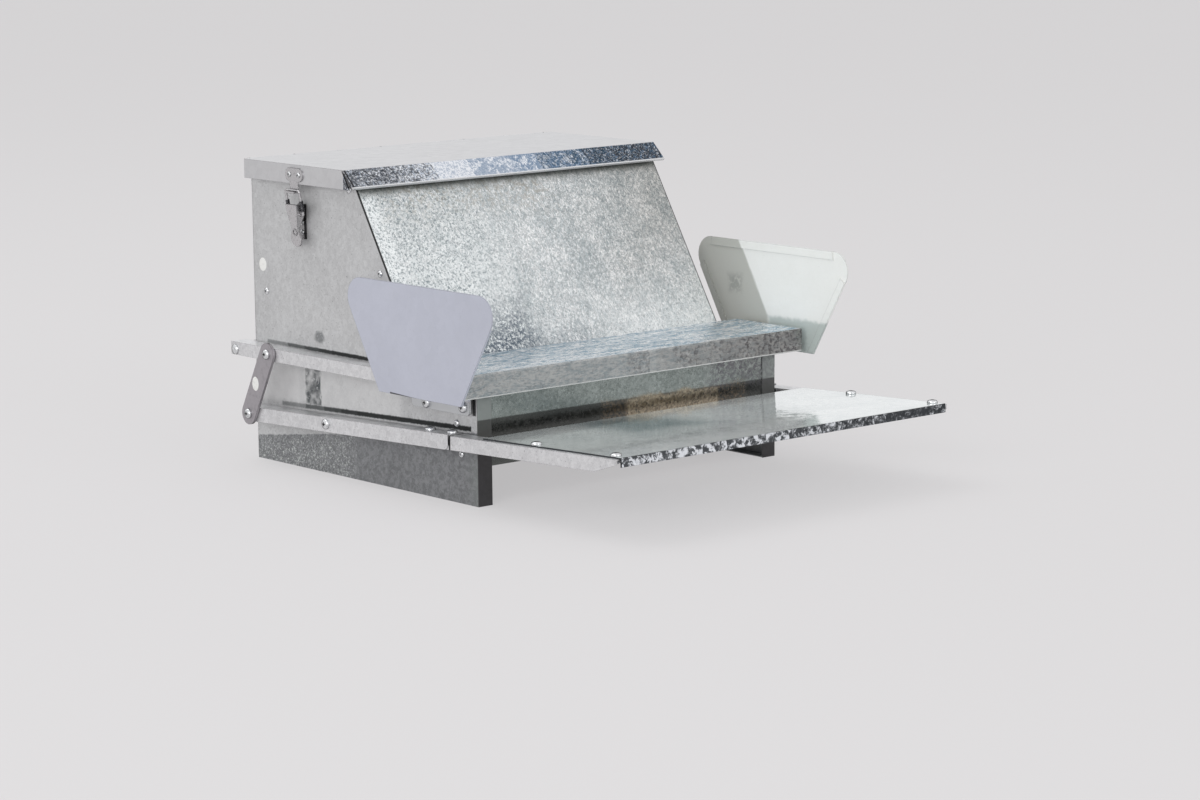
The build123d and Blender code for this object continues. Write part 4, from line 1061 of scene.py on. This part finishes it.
@dataclass(frozen=True)
class Fastener:
    """Measures of one bolt, rivet or nut, read from its plain solid in the frame.

    Attributes:
        seat: Middle of the face that bears on the sheet.
        outward: Direction from the seat to the head's top.
        head_radius: Radius of the head, or of a nut's corners.
        head_height: Height of the head, or of the nut.
        shank_radius: Radius of the shank, or of a nut's bore.
        length: Length of the shank; 0 for a nut.
    """

    seat: Vector
    outward: Vector
    head_radius: float
    head_height: float
    shank_radius: float
    length: float

    @property
    def place(self) -> Matrix:
        """Placement whose local Z is the fastener's axis, with its seat at 0."""
        turn = self.outward.to_track_quat("Z", "Y").to_matrix().to_4x4()
        return Matrix.Translation(self.seat) @ turn

    @classmethod
    def measure(cls, shell: list[bmesh.types.BMFace]) -> "Fastener":
        """Measure one solid.

        Args:
            shell: Its faces.

        Returns:
            The fastener's measures.
        """
        areas: dict[tuple[float, ...], float] = {}
        for face in shell:
            key = tuple(round(c, 3) for c in face.normal)
            areas[key] = areas.get(key, 0.0) + face.calc_area()
        outward = -Vector(max(areas, key=areas.get)).normalized()
        across = outward.orthogonal().normalized()
        basis = np.array([across, outward.cross(across), outward])
        points = np.array([v.co for v in {v for face in shell for v in face.verts}]) @ basis.T
        middle = (points.max(0) + points.min(0)) / 2
        radii = np.hypot(points[:, 0] - middle[0], points[:, 1] - middle[1])
        heights = points[:, 2]
        top, foot, widest = heights.max(), heights.min(), radii.max()
        bore_share, rim_share, end_slice = 0.3, 0.98, 0.1 * MM
        hollow = radii.min() > bore_share * widest
        seat = foot if hollow else heights[radii > rim_share * widest].min()
        inner = radii.min() if hollow else radii[heights < foot + end_slice].max()
        centre = Vector(basis.T @ np.array([middle[0], middle[1], seat]))
        return cls(centre, outward, float(widest), float(top - seat), float(inner),
                   0.0 if hollow else float(seat - foot))

    @classmethod
    def of_node(cls, node: str) -> list["Fastener"]:
        """Measure every separate solid of a node.

        Args:
            node: Name of the node.

        Returns:
            The fasteners in it.
        """
        mesh = bmesh.new()
        mesh.from_mesh(frame["nodes"][node].data)
        bmesh.ops.remove_doubles(mesh, verts=mesh.verts, dist=0.001 * MM)
        mesh.normal_update()
        unseen, found = set(mesh.faces), []
        while unseen:
            shell, edge = set(), [min(unseen, key=lambda f: f.index)]
            while edge:
                face = edge.pop()
                if face in unseen:
                    unseen.discard(face)
                    shell.add(face)
                    edge.extend(n for e in face.edges for n in e.link_faces)
            found.append(cls.measure(sorted(shell, key=lambda f: f.index)))
        mesh.free()
        return found


class Head(Enum):
    """Kinds of fastener head."""

    CROSS_PAN = "cross_pan"
    POP_RIVET = "pop_rivet"


@dataclass
class FastenerWork:
    """Fully shaped bolts, nuts and rivets in place of a node's plain ones."""

    node: str
    body: str
    head: Head
    segments: int = 32
    thread_pitch: float = 0.8 * MM
    thread_depth: float = 0.18 * MM
    recess_width: float = 1.1 * MM
    pan_fullness: float = 2.6
    pan_edge: float = 0.18
    rivet_edge: float = 0.12
    rivet_hole: float = 0.3
    chamfer: float = 0.96
    rounding_steps: int = 7

    def rounding(self, first: int = 0) -> list[float]:
        """Angles of a quarter turn in equal steps, from a first one."""
        return [0.5 * math.pi * step / self.rounding_steps
                for step in range(first, self.rounding_steps)]

    def pan_profile(self, bolt: Fastener) -> list[tuple[float, float]]:
        """Profile of a pan head over its threaded shank.

        Args:
            bolt: The bolt's measures.

        Returns:
            Radius and height of each point, from the shank's end to the crown.
        """
        shank, root = bolt.shank_radius, bolt.shank_radius - self.thread_depth
        profile = [(root * 0.8, -bolt.length)]
        turns = int((bolt.length - self.thread_pitch) / self.thread_pitch)
        for turn in range(turns):
            z = -bolt.length + (turn + 0.5) * self.thread_pitch
            profile += [(root, z), (shank, z + 0.5 * self.thread_pitch)]
        edge, power = self.pan_edge * bolt.head_height, 2 / self.pan_fullness
        profile += [(shank, 0.0), (self.chamfer * bolt.head_radius, 0.0)]
        profile += [(bolt.head_radius * math.cos(t) ** power,
                     edge + (bolt.head_height - edge) * math.sin(t) ** power)
                    for t in self.rounding()]
        return profile + [(0.12 * bolt.head_radius, bolt.head_height)]

    def rivet_profile(self, rivet: Fastener) -> list[tuple[float, float]]:
        """Profile of a pop rivet: a thin flange, a dome and the mandrel's hole.

        Args:
            rivet: The rivet's measures.

        Returns:
            Radius and height of each point, from the tail to the hole's floor.
        """
        head, rise, shank = rivet.head_radius, rivet.head_height, rivet.shank_radius
        hole, edge = self.rivet_hole * head, self.rivet_edge
        profile = [(0.6 * shank, -rivet.length), (shank, -rivet.length + 0.3 * shank),
                   (shank, 0.0), (0.97 * head, 0.0), (head, edge * rise)]
        profile += [(hole + (head - hole) * math.cos(t), (edge + (1 - edge) * math.sin(t)) * rise)
                    for t in self.rounding(first=1)]
        return profile + [(hole, 0.95 * rise), (0.85 * hole, 0.35 * rise),
                          (0.4 * hole, 0.42 * rise)]

    def cutter(self, bolt: Fastener, painted_dark: bpy.types.Material) -> bpy.types.Object:
        """Tapered cross that cuts a bolt's recess.

        Args:
            bolt: The bolt's measures.
            painted_dark: Finish that the cut faces take, grime and painted shade in the recess.

        Returns:
            The cutting piece.
        """
        draft = Draft()
        half = self.recess_width / 2
        rings = []
        for reach, z in ((0.16, 0.45), (0.5, 1.3)):
            long = max(reach * bolt.head_radius, 1.3 * half)
            upper = [(long, half), (half, half), (half, long), (-half, long), (-half, half),
                     (-long, half)]
            corners = upper + [(-x, -y) for x, y in upper]
            rings.append(draft.ring([bolt.place @ Vector((x, y, z * bolt.head_height))
                                     for x, y in corners]))
        draft.bridge(*rings)
        draft.mesh.faces.new(rings[0][::-1])
        draft.mesh.faces.new(rings[1])
        return draft.finish("recess_cutter", painted_dark)

    def shape_bolt(self, draft: Draft, bolt: Fastener,
                   finishes: dict[str, bpy.types.Material]) -> None:
        """Add a bolt with its cross recess to a draft.

        Args:
            draft: The mesh that takes it.
            bolt: The bolt's measures.
            finishes: The materials by their names.
        """
        blank = Draft()
        blank.lathe(self.pan_profile(bolt), bolt.place, self.segments)
        piece = blank.finish("bolt_blank", finishes["zinc_fasteners"])
        cutter = self.cutter(bolt, finishes["recess_grime_and_shade"])
        cut = piece.modifiers.new("recess", "BOOLEAN")
        cut.object, cut.operation, cut.solver = cutter, "DIFFERENCE", "EXACT"
        cut.material_mode = "TRANSFER"
        shaped = piece.evaluated_get(bpy.context.evaluated_depsgraph_get()).to_mesh()
        draft.mesh.from_mesh(shaped)
        for helper in (piece, cutter):
            bpy.data.objects.remove(helper)

    def shape_nut(self, draft: Draft, nut: Fastener) -> None:
        """Add a hexagon nut with chamfered corners to a draft.

        Args:
            draft: The mesh that takes it.
            nut: The nut's measures.
        """
        flat = nut.head_radius * math.cos(math.pi / 6)
        chamfer, bore, height = self.chamfer * flat, nut.shank_radius, nut.head_height
        sixth, bevel = math.pi / 3, 0.2 * MM
        rings: list[list[Vector]] = [[] for _ in range(6)]
        for i in range(2 * self.segments):
            turn = math.pi * i / self.segments
            aside = (turn + sixth / 2) % sixth - sixth / 2
            radius = flat / math.cos(aside)
            drop = 0.45 * (radius - chamfer)
            for ring, (r, z) in zip(rings, (
                    (bore, bevel), (chamfer, 0.0), (radius, drop), (radius, height - drop),
                    (chamfer, height), (bore, height - bevel))):
                ring.append(nut.place @ Vector((r * math.cos(turn), r * math.sin(turn), z)))
        loops = [draft.ring(ring) for ring in rings]
        for a, b in zip(loops, loops[1:] + loops[:1]):
            draft.bridge(a, b)

    def build(self, finishes: dict[str, bpy.types.Material]) -> bpy.types.Object:
        """Make the node's fasteners as one piece and let it stand for the node.

        Args:
            finishes: The materials by their names.

        Returns:
            The finished piece.
        """
        draft = Draft()
        for fastener in Fastener.of_node(self.node):
            if fastener.length == 0.0:
                self.shape_nut(draft, fastener)
            elif self.head is Head.CROSS_PAN:
                self.shape_bolt(draft, fastener, finishes)
            else:
                draft.lathe(self.rivet_profile(fastener), fastener.place, self.segments)
        piece = draft.finish(f"{self.node}_shaped", finishes["zinc_fasteners"])
        piece.data.materials.append(finishes["recess_grime_and_shade"])
        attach(piece, self.body)
        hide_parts(self.node)
        return piece


# Springs and labels ----------------------------------------------------------


@dataclass
class SpringWork:
    """A latch's pair of wire springs, wound on the legs of its bail."""

    side: Side
    wire: float = 0.38 * MM
    bail_wire: float = 1.1 * MM
    pitch: float = 0.95 * MM
    steps: int = 20
    segments: int = 8

    def coil(self, draft: Draft, foot: Vector, head: Vector, radius: float) -> None:
        """Wind one spring.

        Args:
            draft: The mesh that takes it.
            foot: Lower end of its axis.
            head: Upper end of its axis.
            radius: Outer radius of the coil.
        """
        axis = head - foot
        along = axis.normalized()
        across = along.orthogonal().normalized()
        up = along.cross(across)
        turns = round(axis.length / self.pitch)
        path = []
        for i in range(turns * self.steps + 1):
            angle = 2 * math.pi * i / self.steps
            offset = across * math.cos(angle) + up * math.sin(angle)
            path.append(foot + axis * i / (turns * self.steps) + offset * (radius - self.wire))
        draft.tube(path, self.wire, self.segments)

    def build(self, finishes: dict[str, bpy.types.Material]) -> bpy.types.Object:
        """Make both coils as one piece.

        Args:
            finishes: The materials by their names.

        Returns:
            The finished piece.
        """
        name = self.side.value
        node = f"latch_springs_{name}"
        low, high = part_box(node)
        joint = next(j for j in frame["joints"] if j["name"] == f"latch_bail_{name}_turn")
        bail_low, bail_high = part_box(f"latch_bail_{name}")
        bar_x = max(abs(bail_low.x), abs(bail_high.x)) * self.side.sign
        pivot = Vector(joint["pos_m"])
        lean = Vector((bar_x - self.side.sign * self.bail_wire - pivot.x, 0,
                       bail_high.z - self.bail_wire - pivot.z)).normalized()
        radius = (high.x - low.x - (high.z - low.z) * abs(lean.x) / lean.z) / (
            2 * (lean.z - lean.x ** 2 / lean.z))
        draft = Draft()
        for leg in (low.y + radius, high.y - radius):
            base = Vector((pivot.x, leg, pivot.z))
            ends = [(z - base.z) / lean.z for z in (low.z + radius * abs(lean.x),
                                                    high.z - radius * abs(lean.x))]
            self.coil(draft, base + lean * (ends[0] + self.wire),
                      base + lean * (ends[1] - self.wire), radius)
        piece = draft.finish(f"latch_spring_coils_{name}", finishes["spring_wire"])
        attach(piece, f"latch_bail_{name}")
        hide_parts(node)
        return piece


@dataclass
class Label:
    """A small blank label of white vinyl on an upright face of the left side."""

    name: str
    body: str
    place: Vector
    half_width: float
    half_height: float
    thickness: float = 0.18 * MM
    corners: int = 48

    def build(self, finishes: dict[str, bpy.types.Material]) -> bpy.types.Object:
        """Make the label with a rounded edge.

        Args:
            finishes: The materials by their names.

        Returns:
            The finished piece.
        """
        draft = Draft()
        rings = [draft.ring([
            self.place + Vector((-out * self.thickness,
                                 (1 - inset) * self.half_width * math.cos(t),
                                 (1 - inset) * self.half_height * math.sin(t)))
            for t in full_turn(self.corners)])
            for inset, out in ((0.0, 0.0), (0.0, 0.5), (0.02, 0.85), (0.06, 1.0))]
        for a, b in zip(rings, rings[1:]):
            draft.bridge(a, b)
        draft.cap(rings[0], self.place, flip=True)
        draft.cap(rings[-1], self.place + Vector((-self.thickness, 0, 0)))
        piece = draft.finish(self.name, finishes["blank_label"])
        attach(piece, self.body)
        return piece


# Feeder ----------------------------------------------------------------------


@dataclass
class SheetWork:
    """Every node of the frame, dressed in the finish of its material slot."""

    own_finish: dict[str, str] = field(
        default_factory=lambda: {"trough_front_panel": "trough_front_sheet",
                                 "wing_right": "right_wing_painted_light",
                                 "latch_base_left": "latch_base_painted_shade",
                                 "latch_base_right": "latch_base_painted_shade"})

    def build(self, finishes: dict[str, bpy.types.Material]) -> None:
        """Give each node its finish.

        Args:
            finishes: The materials by their names.
        """
        for part in frame["record"]["subparts"]:
            node = frame["nodes"][part["node"]]
            material = finishes[self.own_finish.get(part["node"], part["material_slot"])]
            for place in node.material_slots:
                place.material = material
            LOG.info("%s wears %s", node.name, material.name)


# Studio ----------------------------------------------------------------------


@dataclass
class Camera:
    """A long lens looking down a little at the feeder's left front corner."""

    place: Triple = (-2.0115, -2.36925, 0.5932)
    azimuth: float = -40.63
    elevation: float = 9.65
    roll: float = -0.57
    lens: float = 104.2
    sensor: float = 36.0
    far_clip: float = 100.0

    def build(self) -> bpy.types.Object:
        """Make the scene's camera.

        Returns:
            The camera.
        """
        turn, rise = math.radians(self.azimuth), math.radians(self.elevation)
        back = Vector((math.sin(turn) * math.cos(rise), -math.cos(turn) * math.cos(rise),
                       math.sin(rise)))
        right = Vector((0, 0, 1)).cross(back).normalized()
        axes = Matrix((right, back.cross(right), back)).transposed()
        roll = Matrix.Rotation(math.radians(self.roll), 3, back)
        data = bpy.data.cameras.new("camera")
        data.lens = self.lens
        data.sensor_width = self.sensor
        data.clip_end = self.far_clip
        camera = bpy.data.objects.new("camera", data)
        camera.matrix_world = Matrix.Translation(Vector(self.place)) @ (roll @ axes).to_4x4()
        bpy.context.scene.collection.objects.link(camera)
        bpy.context.scene.camera = camera
        return camera


@dataclass
class Lamp:
    """A large soft box that faces the feeder."""

    name: str
    place: Triple
    size: tuple[float, float]
    power: float
    aim: Triple = (0.0, 0.0, 0.12)

    def build(self) -> None:
        """Hang the lamp."""
        data = bpy.data.lights.new(self.name, "AREA")
        data.shape = "RECTANGLE"
        data.size, data.size_y = self.size
        data.energy = self.power
        lamp = bpy.data.objects.new(self.name, data)
        lamp.location = self.place
        lamp.rotation_euler = (Vector(self.place) - Vector(self.aim)).to_track_quat(
            "Z", "Y").to_euler()
        bpy.context.scene.collection.objects.link(lamp)


@dataclass
class Studio:
    """Pale floor, even world light and soft boxes."""

    floor_size: float = 60.0
    floor_colour: Triple = (0.72, 0.71, 0.715)
    floor_patch: float = 0.4
    floor_shade: float = 0.985
    floor_roughness: float = 0.8
    floor_gloss: float = 0.2
    floor_glow: float = 0.6
    sky: Triple = (0.79, 0.775, 0.785)
    mirrored_sky: Triple = (0.92, 0.92, 0.93)
    world_strength: float = 0.62
    lamps: tuple[Lamp, ...] = (
        Lamp("left_key", (-3.2, -1.7, 1.0), (2.6, 1.8), 40.0),
        Lamp("overhead", (-0.9, 1.3, 3.2), (2.6, 2.4), 26.0),
        Lamp("front_fill", (0.4, -3.6, 1.5), (2.4, 1.6), 16.0))

    def floor(self) -> None:
        """Make the floor, which stays pale however far off it is seen."""
        mesh = bpy.data.meshes.new("floor")
        half = self.floor_size / 2
        corners = [(-half, -half, 0), (half, -half, 0), (half, half, 0), (-half, half, 0)]
        mesh.from_pydata(corners, [], [(0, 1, 2, 3)])
        floor = bpy.data.objects.new("floor", mesh)
        bpy.context.scene.collection.objects.link(floor)
        sketch = NodeSketch("pale_floor")
        shade = sketch.grain(sketch.place, self.floor_patch)
        low = tuple(self.floor_shade * c for c in self.floor_colour)
        sketch.coat({"Base Color": sketch.mix(shade, low, self.floor_colour),
                     "Roughness": self.floor_roughness,
                     "Specular IOR Level": self.floor_gloss})
        glow = sketch.nodes.new("ShaderNodeEmission")
        glow.inputs["Color"].default_value = (*self.sky, 1.0)
        share = sketch.math("MULTIPLY", self.shown(sketch.nodes, sketch.links), self.floor_glow)
        blend = sketch.nodes.new("ShaderNodeMixShader")
        for source, socket in zip((share, sketch.shader.outputs[0], glow.outputs[0]),
                                  blend.inputs):
            sketch.feed(source, socket)
        sketch.feed(blend.outputs[0], sketch.nodes["Material Output"].inputs["Surface"])
        mesh.materials.append(sketch.material)

    def shown(self, nodes: bpy.types.Nodes, links: bpy.types.NodeLinks) -> Socket:
        """1 for what the camera sees straight on or in a reflection.

        Args:
            nodes: Nodes of the tree that uses it.
            links: Links of that tree.

        Returns:
            The socket with that share.
        """
        path = nodes.new("ShaderNodeLightPath")
        seen = nodes.new("ShaderNodeMath")
        seen.operation = "MAXIMUM"
        links.new(path.outputs["Is Camera Ray"], seen.inputs[0])
        links.new(path.outputs["Is Glossy Ray"], seen.inputs[1])
        return seen.outputs[0]

    def world(self) -> None:
        """Light the world evenly, and show it pale to the camera and in reflections."""
        world = bpy.data.worlds.new("studio")
        bpy.context.scene.world = world
        world.use_nodes = True
        nodes, links = world.node_tree.nodes, world.node_tree.links
        light = nodes["Background"]
        light.inputs["Color"].default_value = (1.0, 1.0, 1.0, 1.0)
        light.inputs["Strength"].default_value = self.world_strength
        pale = nodes.new("ShaderNodeBackground")
        pale.inputs["Color"].default_value = (*self.mirrored_sky, 1.0)
        choose = nodes.new("ShaderNodeMixShader")
        links.new(self.shown(nodes, links), choose.inputs[0])
        links.new(light.outputs[0], choose.inputs[1])
        links.new(pale.outputs[0], choose.inputs[2])
        links.new(choose.outputs[0], nodes["World Output"].inputs["Surface"])

    def build(self) -> None:
        """Make the floor, the world and the lamps."""
        self.floor()
        self.world()
        for lamp in self.lamps:
            lamp.build()
        bpy.context.scene.view_settings.view_transform = "Standard"


BOLTS = {"treadle_pivot_bolts": "hopper_body", "treadle_plate_bolts": "treadle",
         "arm_joint_bolts": "treadle", "link_bolts_lower": "treadle",
         "link_bolts_upper": "trough_lid_frame", "wing_bolts": "trough_lid_frame"}
RIVETS = {"body_rivets": "hopper_body", "latch_base_rivets": "hopper_body",
          "catch_rivets": "hopper_lid"}


def labels() -> list[Label]:
    """The two blank labels on the feeder's left side."""
    link_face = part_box("link_left")[0].x
    return [Label("link_label", "link_left",
                  Vector((link_face, behind_front(298.1), 75.2 * MM)), 5.0 * MM, 6.6 * MM),
            Label("side_label", "hopper_body",
                  Vector((-HALF, behind_front(312.5), 182.7 * MM)), 5.6 * MM, 6.2 * MM)]


def main() -> None:
    """Build the feeder's looks in order, and report each piece."""
    logging.basicConfig(level=logging.INFO, format="%(name)s: %(message)s")
    Camera().build()
    Studio().build()
    finishes = FinishSet().build()
    SheetWork().build(finishes)
    makers = [FastenerWork(node, body, Head.CROSS_PAN) for node, body in BOLTS.items()]
    makers += [FastenerWork(node, body, Head.POP_RIVET) for node, body in RIVETS.items()]
    makers += [SpringWork(side) for side in Side] + labels()
    for maker in makers:
        piece = maker.build(finishes)
        LOG.info("%s made, %d faces", piece.name, len(piece.data.polygons))


if __name__ == "__main__":
    main()
